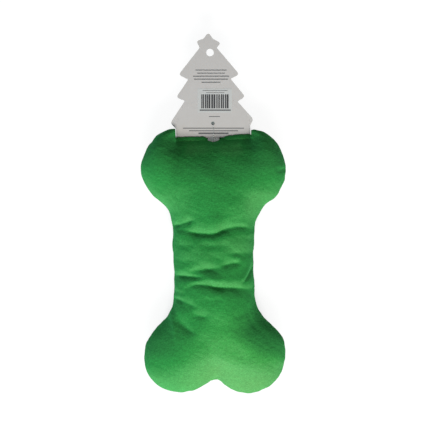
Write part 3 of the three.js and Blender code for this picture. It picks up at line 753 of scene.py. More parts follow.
CLOTH_VOXEL = 4.5 * MM
CLOTH_FRAMES = 12
CLOTH_INSET = 0.9 * MM
CLOTH_CAP = 1.6 * MM
HELD_SEAM, HELD_FOOT, HELD_VALLEY = (2 * MM, 8 * MM), (-14 * MM, -6 * MM), (0.5 * MM, 1.5 * MM)
CARRY_COUNT, CARRY_REACH = 6, 2 * MM


def held_share(points):
    """1 where the cloth is held, 0 where it is free."""
    _, v, w = tag_frame(points)
    valley = smoothstep(*HELD_VALLEY, -fold_relief(points))
    return np.clip(fading(HELD_SEAM, np.abs(w)) + smoothstep(*HELD_FOOT, v) + valley, 0, 1)


def blown_cloth(piece):
    """The coarse cloth's points at rest, and how far each rises when it is blown up."""
    cloth = copy_of(piece, "cloth")
    remesh(cloth, CLOTH_VOXEL)
    rest, normals = points_of(cloth), normals_of(cloth)
    held = held_share(rest)
    set_points(cloth, rest - CLOTH_INSET * normals * (1 - held)[:, None])
    grip = cloth.vertex_groups.new(name="held")
    for i, share in enumerate(held):
        grip.add([i], float(share), "REPLACE")
    step = cloth.modifiers.new("cloth", "CLOTH")
    configure(
        step.settings, quality=6, mass=0.02, tension_stiffness=2, compression_stiffness=2,
        shear_stiffness=0.7, bending_stiffness=0.1, use_pressure=True, uniform_pressure_force=200,
        vertex_group_mass="held", pin_stiffness=5,
    )
    step.settings.effector_weights.gravity = 0
    step.point_cache.frame_start, step.point_cache.frame_end = 1, CLOTH_FRAMES
    scene = bpy.context.scene
    for moment in range(1, CLOTH_FRAMES + 1):
        scene.frame_set(moment)
    apply_modifiers(cloth)
    rise = np.einsum("ij,ij->i", points_of(cloth) - rest, normals)
    scene.frame_set(1)
    drop(cloth)
    return rest, CLOTH_CAP * np.tanh(rise / CLOTH_CAP)


def stuff(piece):
    """Swells the fine mesh as much as the cloth near each of its points rises."""
    rest, rise = blown_cloth(piece)
    tree = KDTree(len(rest))
    for i, place in enumerate(rest):
        tree.insert(place, i)
    tree.balance()
    points = points_of(piece)
    carried = np.zeros(len(points))
    for i, place in enumerate(points):
        near = tree.find_n(place, CARRY_COUNT)
        shares = [1 / (gap**2 + CARRY_REACH**2) for _, _, gap in near]
        carried[i] = sum(share * rise[row[1]] for share, row in zip(shares, near)) / sum(shares)
    carried *= 1 - held_share(points)
    points = points + normals_of(piece) * carried[:, None]
    points[:, 2] = np.maximum(points[:, 2], 0)
    set_points(piece, leave_room(points))


FABRIC = 1.5 * MM
SEAM_GAP = 0.3 * MM
ALLOWANCE = 5 * MM
PLUSH_VOXEL = 2.2 * MM


def panel_from(piece, name, side):
    """One face of the skin, cut at the seam, with its allowance turned in and its thickness."""
    panel = copy_of(piece, name)
    with edited(panel) as mesh:
        bisect(mesh, (0, 0, SEAM_Z + side * SEAM_GAP / 2), (0, 0, side), clear_inner=True)
        rim = [edge for edge in mesh.edges if edge.is_boundary]
        mesh.normal_update()
        outward = {}
        for edge in rim:
            for vertex in edge.verts:
                outward[vertex] = Vector((vertex.normal.x, vertex.normal.y, 0)).normalized()
        grown = bmesh.ops.extrude_edge_only(mesh, edges=rim)["geom"]
        for vertex in (item for item in grown if isinstance(item, bmesh.types.BMVert)):
            others = (edge.other_vert(vertex) for edge in vertex.link_edges)
            vertex.co -= next(outward[other] for other in others if other in outward) * ALLOWANCE
    modify(turned_out(panel), "SOLIDIFY", thickness=FABRIC, offset=-1)
    panel.data.shade_smooth()
    return panel


plush = stuffed_mesh("plush", 0, PLUSH_VOXEL)
modify(plush, "SUBSURF", levels=1, render_levels=1)
sculpt(plush)
stuff(plush)
plush_back = panel_from(plush, "plush_back", 1)
plush_front = panel_from(plush, "plush_front", -1)
plush_faces = [tuple(face.vertices) for face in plush.data.polygons]
skin = BVHTree.FromPolygons([tuple(point) for point in points_of(plush)], plush_faces)
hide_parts("back_panel")
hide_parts("front_panel")


# Filling.


def block(name, low, high):
    (x0, y0, z0), (x1, y1, z1) = low, high
    corners = [(x, y, z) for z in (z0, z1) for x, y in ((x0, y0), (x1, y0), (x1, y1), (x0, y1))]
    sides = [(3, 2, 1, 0), (4, 5, 6, 7), (0, 1, 5, 4), (1, 2, 6, 5), (2, 3, 7, 6), (3, 0, 4, 7)]
    return new_object(name, corners, sides, smooth=False)


def turned(name, profile, sides):
    """A closed profile of radius and height, turned about the vertical through the origin."""
    angles = [2 * pi * i / sides for i in range(sides)]
    vertices = [(r * cos(angle), r * sin(angle), z) for angle in angles for r, z in profile]
    piece = new_object(name, vertices, ring_faces(sides, len(profile), closed=True))
    with edited(piece) as mesh:
        bmesh.ops.remove_doubles(mesh, verts=mesh.verts, dist=WELD / 10)
        bmesh.ops.dissolve_degenerate(mesh, edges=mesh.edges, dist=WELD / 10)
    return turned_out(piece)


FILLING_INSET = 5.4 * MM
FIBRE_VOXEL = 3.6 * MM
FIBRE_LUMPS = (0.5 * MM, 16 * MM, 8, SEED + 2)
ALLOWANCE_ROOM, ALLOWANCE_WIDTH = 3.5 * MM, 2.6 * MM
WAD_GAP = 0.3 * MM
FAR = 0.3
SQUEAKER_RADIUS = 24 * MM
SQUEAKER_HEIGHT = 24 * MM
FLANGE_RADIUS = 8.5 * MM
FLANGE_ROOM = 2.3 * MM
ROOM_SIDES = 48


def fibre_mass():
    """All the filling: lumpy, and grooved where the seam allowance lies."""
    mass = stuffed_mesh("fibre", FILLING_INSET, FIBRE_VOXEL)
    points = follow_outline(points_of(mass))
    points[:, 2] = np.maximum(points[:, 2], FILLING_INSET / 2)
    set_points(mass, points)
    offset = fold_relief(points) + uneven(points, *FIBRE_LUMPS)
    offset -= ALLOWANCE_ROOM * bell(points[:, 2] - SEAM_Z, ALLOWANCE_WIDTH)
    set_points(mass, points + normals_of(mass) * offset[:, None])
    return mass


def squeaker_room():
    """The hollow that the squeaker needs in the filling."""
    low, high = SEAM_Z - SQUEAKER_HEIGHT / 2 - FIT, SEAM_Z + SQUEAKER_HEIGHT / 2 + FIT
    radius, flange, under = SQUEAKER_RADIUS + FIT, FLANGE_RADIUS + FIT, low - FLANGE_ROOM
    profile = [(0, under), (flange, under), (flange, low), (radius, low), (radius, high), (0, high)]
    return turned("squeaker_room", profile, ROOM_SIDES)


def make_fillings():
    mass = fibre_mass()
    room = squeaker_room()
    y, gap = float(waist[1]), WAD_GAP / 2
    regions = {
        "filling_tag_end_right": ((gap, y + gap, -FAR), (FAR, FAR, FAR)),
        "filling_tag_end_left": ((-FAR, y + gap, -FAR), (-gap, FAR, FAR)),
        "filling_far_end_right": ((gap, -FAR, -FAR), (FAR, -y - gap, FAR)),
        "filling_far_end_left": ((-FAR, -FAR, -FAR), (-gap, -y - gap, FAR)),
        "filling_shaft_back": ((-FAR, -y + gap, SEAM_Z + gap), (FAR, y - gap, FAR)),
        "filling_shaft_front": ((-FAR, -y + gap, -FAR), (FAR, y - gap, SEAM_Z - gap)),
    }
    wads = []
    for node, (low, high) in regions.items():
        wad = copy_of(mass, node.replace("filling", "fibre"))
        region = block("region", low, high)
        cut(wad, region, "INTERSECT")
        drop(region)
        if "shaft" in node:
            cut(wad, room, "DIFFERENCE")
        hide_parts(node)
        wads.append(wad)
    drop(mass)
    drop(room)
    return wads


wads = make_fillings()
drop(plush)


# Thread.


def tube(name, path, radius, sides=8, closed=False):
    """A round tube along the points, with its ends capped or joined."""
    rows = [Vector(point) for point in path]
    count = len(rows)
    vertices = []
    normal = None
    for i, here in enumerate(rows):
        before = rows[i - 1] if closed or i else here
        after = rows[(i + 1) % count] if closed or i < count - 1 else here
        along = (after - before).normalized()
        if normal is None:
            normal = along.orthogonal().normalized()
        normal = (normal - along * normal.dot(along)).normalized()
        across = along.cross(normal)
        for k in range(sides):
            angle = 2 * pi * k / sides
            vertices.append(here + radius * (cos(angle) * normal + sin(angle) * across))
    return new_object(name, vertices, ring_faces(count, sides, closed))


THREAD_RADIUS = 0.3 * MM
CLOSING_START = -0.75 * float(waist[1])
CLOSING_PITCH = 4 * MM
CLOSING_CROSSINGS = 11
CLOSING_HALF_HEIGHT = 2.1 * MM
CLOSING_STEPS = 6
STITCH_INSET = 4.4 * MM
STITCH_SHIFT = 0.12 * MM
PRESSED_FADE = 1.5 * MM


def closing_stitches():
    """A ladder of stitches over the seam on the shaft's right edge, laid on the plush."""
    corners = []
    for i in range(CLOSING_CROSSINGS + 1):
        side = 1 if i % 2 else -1
        y, z = CLOSING_START + i * CLOSING_PITCH, SEAM_Z + side * CLOSING_HALF_HEIGHT
        hit = skin.ray_cast(Vector((BONE_LENGTH, y, z)), Vector((-1, 0, 0)))[0]
        corners.append((hit.x + 0.5 * THREAD_RADIUS, y, z))
    return tube("closing_stitches", smooth_path(corners, CLOSING_STEPS), THREAD_RADIUS)


def seam_stitches():
    """The machine-sewn thread on the allowance, all the way round inside the toy."""
    outline = whole_outline(STITCH_INSET)
    points = np.stack([outline[:, 0], outline[:, 1], np.full(len(outline), SEAM_Z)], axis=1)
    u, v, w = tag_frame(follow_outline(points))
    edge = TUCK_EDGE + STITCH_INSET
    inside = fading((edge - PRESSED_FADE, edge + PRESSED_FADE), np.abs(u))
    pressed = np.minimum(v, -STITCH_INSET - TUCK_FOOT)
    points = from_tag_frame(u, lerp(v, pressed, inside), w)
    lift = SEAM_GAP / 2 + FABRIC + THREAD_RADIUS
    points[:, 2] += lift + STITCH_SHIFT * np.cos(np.arange(len(points)) * pi)
    return tube("seam_stitches", points, THREAD_RADIUS, closed=True)


closing_thread = closing_stitches()
seam_thread = seam_stitches()
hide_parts("closing_thread")
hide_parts("seam_thread")


# Squeaker's pleated wall.

BELLOWS_LOW = 19.7 * MM
BELLOWS_HIGH = 36.3 * MM
BELLOWS_WALL = 1.0 * MM
BELLOWS_PLEATS = 3
BELLOWS_STEPS, BELLOWS_SIDES = 36, 72
BELLOWS_GAP = 0.1 * MM
PLEAT_DEPTH = 3.2 * MM


def bellows():
    rows = []
    for i in range(BELLOWS_STEPS + 1):
        turn = 2 * pi * BELLOWS_PLEATS * i / BELLOWS_STEPS
        radius = SQUEAKER_RADIUS - PLEAT_DEPTH * (0.5 - 0.5 * cos(turn)) - BELLOWS_GAP
        rows.append((radius, lerp(BELLOWS_LOW, BELLOWS_HIGH, i / BELLOWS_STEPS)))
    inner = [(radius - BELLOWS_WALL, z) for radius, z in reversed(rows)]
    return turned("bellows", rows + inner, BELLOWS_SIDES)


pleats = bellows()
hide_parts("squeaker_bellows")


# Swing tag. Its own frame has u across the card, v up it from its foot and w out of its face.

HOLE_SIDES = 48
CARD_CELL = 6 * MM
RULE_LIFT = 0.03 * MM
RULE_THICKNESS = 0.02 * MM
BOW_UP, BOW_ACROSS = 0.5 * MM, 0.45 * MM
BEVEL_ANGLE = radians(50)


def card_bow(u, v):
    """The card's slight bow, out of its plane."""
    up = np.clip(v / TAG_HEIGHT, 0, 1)
    return BOW_UP * up**2 - BOW_ACROSS * up * (u / TAG_HALF_WIDTH) ** 2


def rounded(corners, steps=6):
    """A closed outline through the corners (x, y, radius), each rounded."""
    rows = []
    count = len(corners)
    for i, (x, y, radius) in enumerate(corners):
        here = np.array((x, y))
        before = np.array(corners[i - 1][:2]) - here
        after = np.array(corners[(i + 1) % count][:2]) - here
        long_before, long_after = np.linalg.norm(before), np.linalg.norm(after)
        angle = acos(np.dot(before, after) / (long_before * long_after))
        back = min(radius / tan(angle / 2), long_before / 2, long_after / 2)
        start, end = here + before / long_before * back, here + after / long_after * back
        for k in range(steps + 1):
            t = k / steps
            rows.append(start * (1 - t) ** 2 + 2 * here * t * (1 - t) + end * t**2)
    return rows


def rounded_rectangle(width, height, radius):
    x, y = width / 2, height / 2
    return rounded([(x, -y, radius), (x, y, radius), (-x, y, radius), (-x, -y, radius)])


def tag_outline():
    right = [(TRUNK_HALF_WIDTH, 0, CARD), (TRUNK_HALF_WIDTH, TRUNK_HEIGHT, CARD)]
    tree = [(x * TAG_HALF_WIDTH, y * TAG_HEIGHT, r * TAG_HALF_WIDTH) for x, y, r in TREE_CORNER_SHARES]
    return rounded([*right, *tree, *((-x, y, r) for x, y, r in reversed(right))])


def round_hole(radius, up):
    turns = (2 * pi * i / HOLE_SIDES for i in range(HOLE_SIDES))
    return [np.array((radius * cos(a), up + radius * sin(a))) for a in turns]


def flat_piece(name, loops, thickness, lift, bevel=0.0):
    """A sheet cut to the loops (the outline, then its holes) that lies on the bowed card."""
    piece = placed(name, bpy.data.meshes.new(name))
    with edited(piece) as mesh:
        for loop in loops:
            ring = [mesh.verts.new((x, y, 0)) for x, y in loop]
            for a, b in zip(ring, ring[1:] + ring[:1]):
                mesh.edges.new((a, b))
        bmesh.ops.remove_doubles(mesh, verts=mesh.verts[:], dist=WELD)
        bmesh.ops.triangle_fill(mesh, edges=mesh.edges[:], use_beauty=True)
        flat = np.array([vertex.co[:2] for vertex in mesh.verts])
        for low, high, facing in zip(flat.min(axis=0), flat.max(axis=0), ((1, 0, 0), (0, 1, 0))):
            for line in np.arange(low + CARD_CELL, high - CARD_CELL / 4, CARD_CELL):
                bisect(mesh, tuple(line * side for side in facing), facing)
        mesh.normal_update()
        if sum(face.normal.z for face in mesh.faces) < 0:
            bmesh.ops.reverse_faces(mesh, faces=mesh.faces[:])
    u, v, _ = points_of(piece).T
    set_points(piece, from_tag_frame(u, v, card_bow(u, v) + lift))
    modify(piece, "SOLIDIFY", thickness=thickness, offset=-1)
    if bevel:
        modify(piece, "BEVEL", width=bevel, segments=2, limit_method="ANGLE", angle_limit=BEVEL_ANGLE)
    return piece


def from_pixel(px, py):
    """The place on the card, u and v, under a pixel of the photograph."""
    x, y = at_pixel(px, py)
    u, v, _ = tag_frame(np.array([[x, y, SEAM_Z]]))
    return float(u[0]), float(v[0])


def strip(left, bottom, right, top):
    """A level strip's corners on the card, from the pixels of its sides."""
    return [from_pixel(*corner) for corner in ((left, bottom), (right, bottom), (right, top), (left, top))]


def joined(name, pieces):
    """One piece of several closed bodies."""
    whole = placed(name, bpy.data.meshes.new(name))
    with edited(whole) as mesh:
        for piece in pieces:
            mesh.from_mesh(piece.data)
            drop(piece)
    return whole


def rules(name, rows, lift):
    """Plain ruled lines: each is the pixel of its middle, its length and its height in pixels."""
    strips = []
    for i, (px, py, length, height) in enumerate(rows):
        corners = strip(px - length / 2, py + height / 2, px + length / 2, py - height / 2)
        strips.append(flat_piece(f"{name}_{i}", [corners], RULE_THICKNESS, lift))
    return joined(name, strips)


CARD_TOP = CARD / 2
CARD_BEVEL = 0.1 * MM
STICKER_PX = (214.8, 100.6)
STICKER_SIZE_PX = (34.6, 24.2)
STICKER_CORNER_PX = 1.1
STICKER_THICKNESS = 0.1 * MM
BARS_PX = (214.9, 101.4)
BARS_SIZE_PX = (27.3, 14)
BAR_COUNT = 14
ON_CARD = CARD_TOP + RULE_LIFT
ON_STICKER = ON_CARD + STICKER_THICKNESS + 2 * RULE_LIFT
CARD_RULES = [
    (211, 70.1, 31, 0.9), (211, 73.2, 28, 0.85), (211, 76.2, 36, 0.95), (211, 79.2, 34, 0.95),
    (211, 82.3, 19, 0.9), (214.5, 116.6, 11, 0.7), (213.5, 128.2, 61, 0.9),
    (213.5, 130.8, 49, 0.9), (213.5, 133.3, 30, 1.5),
]
STICKER_RULES = [(215.2, 90.5, 25, 0.5), (215.2, 92.7, 18, 0.45), (215.2, 110.2, 31, 1.3)]


def make_sticker():
    px, py = STICKER_PX
    corners = rounded_rectangle(*STICKER_SIZE_PX, STICKER_CORNER_PX)
    outline = [from_pixel(px + x, py - y) for x, y in corners]
    return flat_piece("sticker", [outline], STICKER_THICKNESS, ON_CARD + STICKER_THICKNESS)


def make_bars():
    """A plain pattern of upright bars, whose widths follow a count and stand for nothing."""
    widths = [2 + (i * i + i // 3) % 3 for i in range(BAR_COUNT)]
    gaps = [1 + (i * i % 5 == 1) for i in range(BAR_COUNT - 1)] + [0]
    (px, py), (width, height) = BARS_PX, BARS_SIZE_PX
    unit = width / (sum(widths) + sum(gaps))
    left, top, bottom = px - width / 2, py - height / 2, py + height / 2
    bars = []
    for i, (count, gap) in enumerate(zip(widths, gaps)):
        corners = strip(left, bottom, left + count * unit, top)
        bars.append(flat_piece(f"bar_{i}", [corners], RULE_THICKNESS, ON_STICKER))
        left += (count + gap) * unit
    return joined("sticker_bars", bars)


holes = [round_hole(PEG_HOLE_RADIUS, PEG_HOLE_UP), round_hole(PIN_HOLE_RADIUS, PIN_HOLE_UP)]
card = flat_piece("card", [tag_outline(), *holes], CARD, CARD_TOP, bevel=CARD_BEVEL)
sticker = make_sticker()
bars = make_bars()
card_lines = rules("card_rules", CARD_RULES, ON_CARD)
sticker_lines = rules("sticker_rules", STICKER_RULES, ON_STICKER)
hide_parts("tag_card")
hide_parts("tag_sticker")


# Plastic pin: a cross bar inside the toy, a filament up the card's face, and a paddle behind it.

FILAMENT_RADIUS = 0.3 * MM
CROSS_BAR_RADIUS = 0.6 * MM
CROSS_BAR_LENGTH = 9 * MM
CROSS_BAR_DEPTH = 16 * MM
CROSS_BAR_STEPS, CROSS_BAR_SIDES = 25, 12
PADDLE_SIZE = (6.4 * MM, 5 * MM)
PADDLE_THICKNESS = 1 * MM
PADDLE_CORNER, PADDLE_BEVEL = 1.4 * MM, 0.2 * MM
FILAMENT_SLACK = 0.5 * MM
FILAMENT_STEPS, FILAMENT_SIDES = 8, 10
FILAMENT_OVER = CARD_TOP + 0.25 * MM + FILAMENT_RADIUS
PADDLE_UNDER = -CARD_TOP - 0.3 * MM


def make_filament():
    """The filament rises from the toy, lies over the card's face and passes through its pin hole."""
    up = PIN_HOLE_UP
    stations = [
        (-CROSS_BAR_DEPTH, 0),
        (-CROSS_BAR_DEPTH / 2, 0),
        (-2.6 * MM, 0.1 * MM),
        (0, FILAMENT_OVER),
        (0.3 * up, FILAMENT_OVER + 0.15 * MM),
        (0.6 * up, FILAMENT_OVER + 0.2 * MM),
        (up - 2.2 * MM, FILAMENT_OVER + 0.1 * MM),
        (up - 0.6 * MM, 0.7 * FILAMENT_OVER),
        (up, 0),
        (up, PADDLE_UNDER - PADDLE_THICKNESS / 2),
    ]
    course = np.array(smooth_path(stations, FILAMENT_STEPS))
    v, w = course[:, 0], course[:, 1]
    slack = FILAMENT_SLACK * np.sin(np.clip(v / up, 0, 1) * pi)
    points = from_tag_frame(slack, v, w + card_bow(slack, v))
    return tube("pin_filament", points, FILAMENT_RADIUS, sides=FILAMENT_SIDES)


def make_cross_bar():
    u = CROSS_BAR_LENGTH / 2 * np.linspace(-1, 1, CROSS_BAR_STEPS)
    path = from_tag_frame(u, 0 * u - CROSS_BAR_DEPTH, 0 * u)
    return tube("pin_bar", path, CROSS_BAR_RADIUS, sides=CROSS_BAR_SIDES)


def make_paddle():
    outline = [(x, y + PIN_HOLE_UP) for x, y in rounded_rectangle(*PADDLE_SIZE, PADDLE_CORNER)]
    return flat_piece("pin_paddle", [outline], PADDLE_THICKNESS, PADDLE_UNDER, bevel=PADDLE_BEVEL)


filament = make_filament()
cross_bar = make_cross_bar()
paddle = make_paddle()
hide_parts("tag_pin")


# The soft edge of the back's plush, which lies over the card's foot. Its root and its tail lie inside the
# plush, and its rounded top ends in a thin edge on the card.

LIP_FROM, LIP_PITCH = 6.5 * MM, 0.7 * MM
LIP_ROOT, LIP_TAIL, LIP_TAIL_DROP = 2.8 * MM, 1 * MM, 0.6 * MM
LIP_TIP, LIP_OUTER_TIP, LIP_OUTER_FROM = 2.2 * MM, 0.6 * MM, 20 * MM
LIP_STEPS, LIP_ROUNDNESS = 7, 1.4
LIP_PROUD = 0.05 * MM
LIP_UNDER = CARD_TOP + 0.2 * MM
LIP_EDGE = LIP_UNDER + 0.45 * MM
LIP_INSET = 0.3 * MM
LIP_THICKNESS = 2 * MM
LIP_END_BEFORE, LIP_END_AFTER, LIP_END_DROP = 3 * MM, {1: 12 * MM, -1: 5 * MM}, 0.7 * MM
LIP_UNEVENNESS = 0.22 * MM
LIP_WAVES = [(1, 13 * MM, 5, SEED + 6), (0.6, 5 * MM, 5, SEED + 7)]
LIP_SMOOTHING = 5


def plush_height(u, v):
    """How high the plush's back lies over a place beside the card's foot."""
    x, y, z = from_tag_frame(np.array([u]), np.array([v]), np.zeros(1))[0]
    hit = skin.ray_cast(Vector((x, y, z + BONE_LENGTH)), Vector((0, 0, -1)))[0]
    return max(hit.z - SEAM_Z, 0) if hit else 0.0


def lip_section(u, tip, height):
    """A closed section through the lip: its rounded top from the root to the tip, then its underside."""
    rows = [(-LIP_ROOT - LIP_TAIL, height - LIP_TAIL_DROP)]
    for t in np.arange(LIP_STEPS + 1) / LIP_STEPS:
        rise = (height + LIP_PROUD - LIP_EDGE) * (1 - t**LIP_ROUNDNESS)
        rows.append((lerp(-LIP_ROOT, tip, t), LIP_EDGE + rise))
    rows += [(tip - LIP_INSET, LIP_UNDER), (LIP_INSET, LIP_UNDER)]
    rows.append((-LIP_ROOT, max(height - LIP_THICKNESS, LIP_UNDER)))
    return [(u, v, w) for v, w in rows]


def plush_lip(name, side):
    across = np.arange(LIP_FROM, TRUNK_HALF_WIDTH + LIP_PITCH, LIP_PITCH)
    places = np.outer(side * across, (1, 0, 0))
    waviness = sum(uneven(places, *row) for row in LIP_WAVES)
    heights = np.array([plush_height(side * u, -LIP_ROOT) for u in across])
    heights = np.pad(heights, LIP_SMOOTHING // 2, "edge")
    heights = np.convolve(heights, np.full(LIP_SMOOTHING, 1 / LIP_SMOOTHING), mode="valid")
    ends = smoothstep(LIP_FROM - LIP_END_BEFORE, LIP_FROM + LIP_END_AFTER[side], across)
    heights -= LIP_END_DROP * (1 - ends)
    outer = smoothstep(LIP_OUTER_FROM, TRUNK_HALF_WIDTH, across)
    tips = lerp(-LIP_TIP, LIP_TIP + LIP_OUTER_TIP * outer, ends) + LIP_UNEVENNESS * waviness
    sections = [lip_section(side * u, tip, height) for u, tip, height in zip(across, tips, heights)]
    points = from_tag_frame(*np.concatenate(sections).T)
    return turned_out(new_object(name, points, ring_faces(len(across), len(sections[0]))))


lips = [plush_lip("plush_lip_right", 1), plush_lip("plush_lip_left", -1)]


# Materials.


def new_material(name, colour, roughness, **inputs):
    material = bpy.data.materials.new(name)
    material.use_nodes = True
    shader = material.node_tree.nodes["Principled BSDF"]
    for key, value in {"Base_Color": (*colour, 1), "Roughness": roughness, **inputs}.items():
        shader.inputs[key.replace("_", " ")].default_value = value
    return material, material.node_tree, shader


def noise(tree, size, detail, roughness, stretch=(1, 1, 1), turn=0.0):
    """Noise whose features measure about size, in the piece's own space."""
    place = node_of(tree, "TexCoord").outputs["Object"]
    sizes = {"Scale": [size * s for s in stretch], "Rotation": (0, 0, turn)}
    scaled = node_of(tree, "Mapping", place, vector_type="TEXTURE", **sizes)
    vector = scaled.outputs["Vector"]
    texture = node_of(tree, "TexNoise", vector, Scale=1.0, Detail=detail, Roughness=roughness)
    return texture.outputs["Fac"]


def varied(tree, value, amount):
    """A factor about 1 that follows a noise."""
    return ranged(tree, value, *NOISE_RANGE, 1 - amount, 1 + amount)


def ramp(tree, value, stops):
    node = node_of(tree, "ValToRGB", value)
    for element, (place, colour) in zip(node.color_ramp.elements, (stops[0], stops[-1])):
        element.position, element.color = place, (*colour, 1)
    for place, colour in stops[1:-1]:
        node.color_ramp.elements.new(place).color = (*colour, 1)
    return node.outputs["Color"]


def distance_from(tree, place, centre):
    return node_of(tree, "VectorMath", place, centre, operation="DISTANCE").outputs["Value"]


def add_bump(tree, shader, height, distance):
    bump = node_of(tree, "Bump", Strength=BUMP_STRENGTH, Distance=distance, Height=height)
    give(tree, shader.inputs["Normal"], bump.outputs["Normal"])


NOISE_RANGE = (0.3, 0.7)
BUMP_STRENGTH = 0.6
# The plush's colour on slopes that face the tag, across and the far end: painted shade, the plain colour,
# and painted light with a painted sheen, as the light from the far end falls.
PLUSH_PAINTED_SHADE = (0.023, 0.184, 0.041)
PLUSH_MID = (0.023, 0.218, 0.043)
PLUSH_PAINTED_LIGHT = (0.058, 0.286, 0.072)
PLUSH_ROUGHNESS = 0.95
PLUSH_SHEEN = {
    "Specular_IOR_Level": 0.06,
    "Sheen_Weight": 0.2,
    "Sheen_Roughness": 0.45,
    "Sheen_Tint": (0.2, 1, 0.42, 1),
}
# Painted light and sheen: the plush is painted paler in one place at the far end, where the light falls
# brightest.
PAINTED_LIGHT_PATCH_MID = (0.044, 0.285, 0.057)
PAINTED_LIGHT_PATCH_LIGHT = (0.085, 0.322, 0.090)
PAINTED_LIGHT_PATCH_PALE = (0.082, 0.276, 0.078)
PAINTED_LIGHT_PATCH_PLACE = (30 * MM, -125 * MM, 50 * MM)
PAINTED_LIGHT_PATCH_REACH = (75 * MM, 25 * MM)
# Pile, tufts and broad patches: size, detail, roughness, stretch and turn of the noise; then how
# far each makes the pile lighter or darker.
PILE_LEAN = radians(22)
PILE = (0.9 * MM, 2, 0.6, (1.8, 0.8, 1), PILE_LEAN)
TUFTS = (2.4 * MM, 3, 0.6, (1.5, 0.8, 1), PILE_LEAN)
PATCHES = (38 * MM, 2, 0.5)
PILE_SHADE, TUFT_SHADE, PATCH_SHADE = 0.24, 0.08, 0.07
PILE_BUMP, PILE_BUMP_SHARE = 0.9 * MM, 0.5
# How far a slope must turn to the tag or to the far end for the full painted shade or painted light.
PAINTED_SHADING_SLOPE = 0.6
# Patches of painted light and shade, which make the painted shading of the slopes lighter or darker: place
# across and along the toy, reach, and the change.
PAINTED_PATCH_HEIGHT = 46 * MM
PAINTED_LIGHT_AND_SHADE_PATCHES = [
    (-62, -94, 44, -0.28), (66, -88, 38, -0.22), (66, 108, 44, -0.34), (-62, 84, 34, -0.30),
    (-16, 10, 26, 0.24), (50, 62, 24, 0.16), (40, 18, 22, 0.16), (0, 60, 30, -0.10),
    (-45, 135, 20, -0.9), (45, 139, 20, -0.9), (-32, 130, 30, 0.8), (-10, 130, 28, 0.5),
    (10, 130, 28, 0.5), (33, 131, 30, 0.8), (52, 60, 20, 0.25), (16, 22, 20, 0.35),
    (0, 38, 20, -0.15),
]


def plush_material():
    """Short pile, with painted light and shade: paler on slopes that face the far end, where the light
    comes from, and darker on slopes that face the tag.
    """
    material, tree, shader = new_material("plush", PLUSH_MID, PLUSH_ROUGHNESS, **PLUSH_SHEEN)
    facing = node_of(tree, "TexCoord")
    place = facing.outputs["Object"]
    normal_axes = node_of(tree, "SeparateXYZ", facing.outputs["Normal"])
    # Painted shade and painted light by the way each slope faces: 0 on slopes to the tag, 1 on slopes to
    # the far end.
    painted_shading = ranged(tree, normal_axes.outputs["Y"], PAINTED_SHADING_SLOPE, -PAINTED_SHADING_SLOPE, 0, 1)
    # Patches of painted light and painted shade.
    for x, y, reach, change in PAINTED_LIGHT_AND_SHADE_PATCHES:
        away = distance_from(tree, place, (x * MM, y * MM, PAINTED_PATCH_HEIGHT))
        painted_shading = combined(tree, "ADD", painted_shading, ranged(tree, away, 0, reach * MM, change, 0))
    plain = [(0.14, PLUSH_PAINTED_SHADE), (0.5, PLUSH_MID), (0.9, PLUSH_PAINTED_LIGHT)]
    # A patch of painted light and sheen at the far end.
    painted_light_stops = [(0.14, PLUSH_PAINTED_SHADE), (0.5, PAINTED_LIGHT_PATCH_MID), (0.78, PAINTED_LIGHT_PATCH_LIGHT), (1, PAINTED_LIGHT_PATCH_PALE)]
    painted_light_share = ranged(tree, distance_from(tree, place, PAINTED_LIGHT_PATCH_PLACE), *PAINTED_LIGHT_PATCH_REACH, 0, 1)
    both = node_of(tree, "Mix", data_type="RGBA", Factor=painted_light_share)
    give(tree, both.inputs["A"], ramp(tree, painted_shading, plain))
    give(tree, both.inputs["B"], ramp(tree, painted_shading, painted_light_stops))
    tufts, pile = noise(tree, *TUFTS), noise(tree, *PILE)
    shade = combined(tree, "MULTIPLY", varied(tree, tufts, TUFT_SHADE), varied(tree, pile, PILE_SHADE))
    shade = combined(tree, "MULTIPLY", shade, varied(tree, noise(tree, *PATCHES), PATCH_SHADE))
    colour = node_of(tree, "VectorMath", both.outputs["Result"], operation="SCALE", Scale=shade)
    give(tree, shader.inputs["Base Color"], colour.outputs["Vector"])
    height = combined(tree, "ADD", tufts, ranged(tree, pile, 0, 1, 0, PILE_BUMP_SHARE))
    add_bump(tree, shader, height, PILE_BUMP)
    return material


# The other materials: dark and light colour, roughness, size of the grain, height of its bump,
# specular level, and how clear.
PLAIN_SPECULAR = 0.4
FINISHES = {
    "fibre": ((0.72, 0.72, 0.70), (0.90, 0.90, 0.88), 1.0, 1.2 * MM, 0.8 * MM, 0.1),
    "thread": ((0.016, 0.125, 0.030), (0.030, 0.20, 0.050), 0.6, 0.5 * MM, 0.2 * MM),
    "card": ((0.492, 0.464, 0.439), (0.526, 0.498, 0.472), 0.62, 0.7 * MM, 0.02 * MM, 0.3),
    "label": ((0.503, 0.501, 0.478), (0.533, 0.531, 0.508), 0.45, 0.9 * MM, 0.01 * MM),
    "ink": ((0.045, 0.045, 0.047), (0.060, 0.060, 0.062), 0.5, 0.4 * MM),
    "line_ink": ((0.11, 0.11, 0.11), (0.14, 0.14, 0.14), 0.55, 0.4 * MM),
    "squeaker_plastic": ((0.74, 0.72, 0.66), (0.82, 0.80, 0.74), 0.4, 1.5 * MM, 0.02 * MM),
    "reed_film": ((0.50, 0.58, 0.64), (0.58, 0.66, 0.72), 0.25, 0.6 * MM),
    "clear_plastic": ((0.78, 0.80, 0.79), (0.86, 0.88, 0.87), 0.25, 0.8 * MM, 0, PLAIN_SPECULAR, 0.7),
    # The paddle is painted dark grey: painted shade in the pin hole, through which the paddle shows.
    "paddle_painted_shade": ((0.22, 0.26, 0.25), (0.28, 0.32, 0.31), 0.25, 0.8 * MM, 0, PLAIN_SPECULAR, 0.3),
}
FINE_GRAIN, BROAD_GRAIN, BROAD_GRAIN_SCALE = (4, 0.6), (2, 0.5), 14
FINE_RANGE, FINE_SHARE = (0.25, 0.75), 0.6


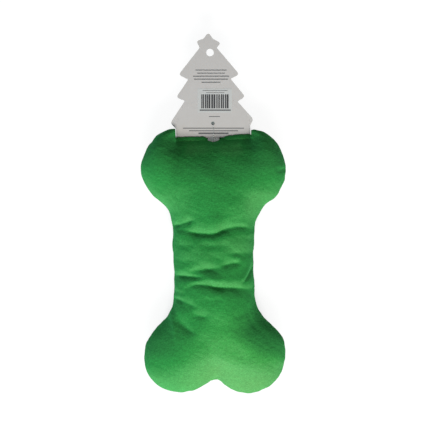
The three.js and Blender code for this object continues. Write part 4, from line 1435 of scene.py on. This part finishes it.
def grained(name, dark, light, roughness, grain, bump=0, specular=PLAIN_SPECULAR, clear=0):
    """A material with a fine grain between two near colours."""
    inputs = {"Specular_IOR_Level": specular, "Transmission_Weight": clear, "IOR": 1.5}
    material, tree, shader = new_material(name, light, roughness, **inputs)
    fine = noise(tree, grain, *FINE_GRAIN)
    broad = noise(tree, BROAD_GRAIN_SCALE * grain, *BROAD_GRAIN)
    fine_part = ranged(tree, fine, *FINE_RANGE, 0, FINE_SHARE)
    broad_part = ranged(tree, broad, *NOISE_RANGE, 0, 1 - FINE_SHARE)
    mixed = combined(tree, "ADD", fine_part, broad_part)
    give(tree, shader.inputs["Base Color"], ramp(tree, mixed, [(0, dark), (1, light)]))
    if bump:
        add_bump(tree, shader, fine, bump)
    return material


finishes = {name: grained(name, *values) for name, values in FINISHES.items()}
finishes["plush"] = plush_material()
for node in ("squeaker_base", "squeaker_top", "reed_plug", "reed_wedge", "reed"):
    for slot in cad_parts[node].material_slots:
        slot.link = "OBJECT"
        slot.material = finishes["reed_film" if node == "reed" else "squeaker_plastic"]


# Declarations: the pieces with the body that they ride, their slot and their material.

for pieces, body, slot_name, finish in (
    ((plush_back, plush_front), TOY, "plush", "plush"),
    (wads, TOY, "fibre", "fibre"),
    ((closing_thread, seam_thread), TOY, "thread", "thread"),
    ((pleats,), TOY, "squeaker", "squeaker_plastic"),
    ((cross_bar,), TOY, "clear_plastic", "clear_plastic"),
    ((card,), TAG, "card", "card"),
    ((card_lines,), TAG, "card", "line_ink"),
    ((sticker,), TAG, "label", "label"),
    ((sticker_lines,), TAG, "label", "line_ink"),
    ((bars,), TAG, "label", "ink"),
    ((paddle,), TAG, "clear_plastic", "paddle_painted_shade"),
    ((filament,), None, "clear_plastic", "clear_plastic"),
    (lips, None, "plush", "plush"),
):
    for piece in pieces:
        if body:
            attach(piece, body)
        piece.data.materials.clear()
        piece.data.materials.append(finishes[finish])
for piece in (filament, *lips):
    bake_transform(piece)
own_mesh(pleats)
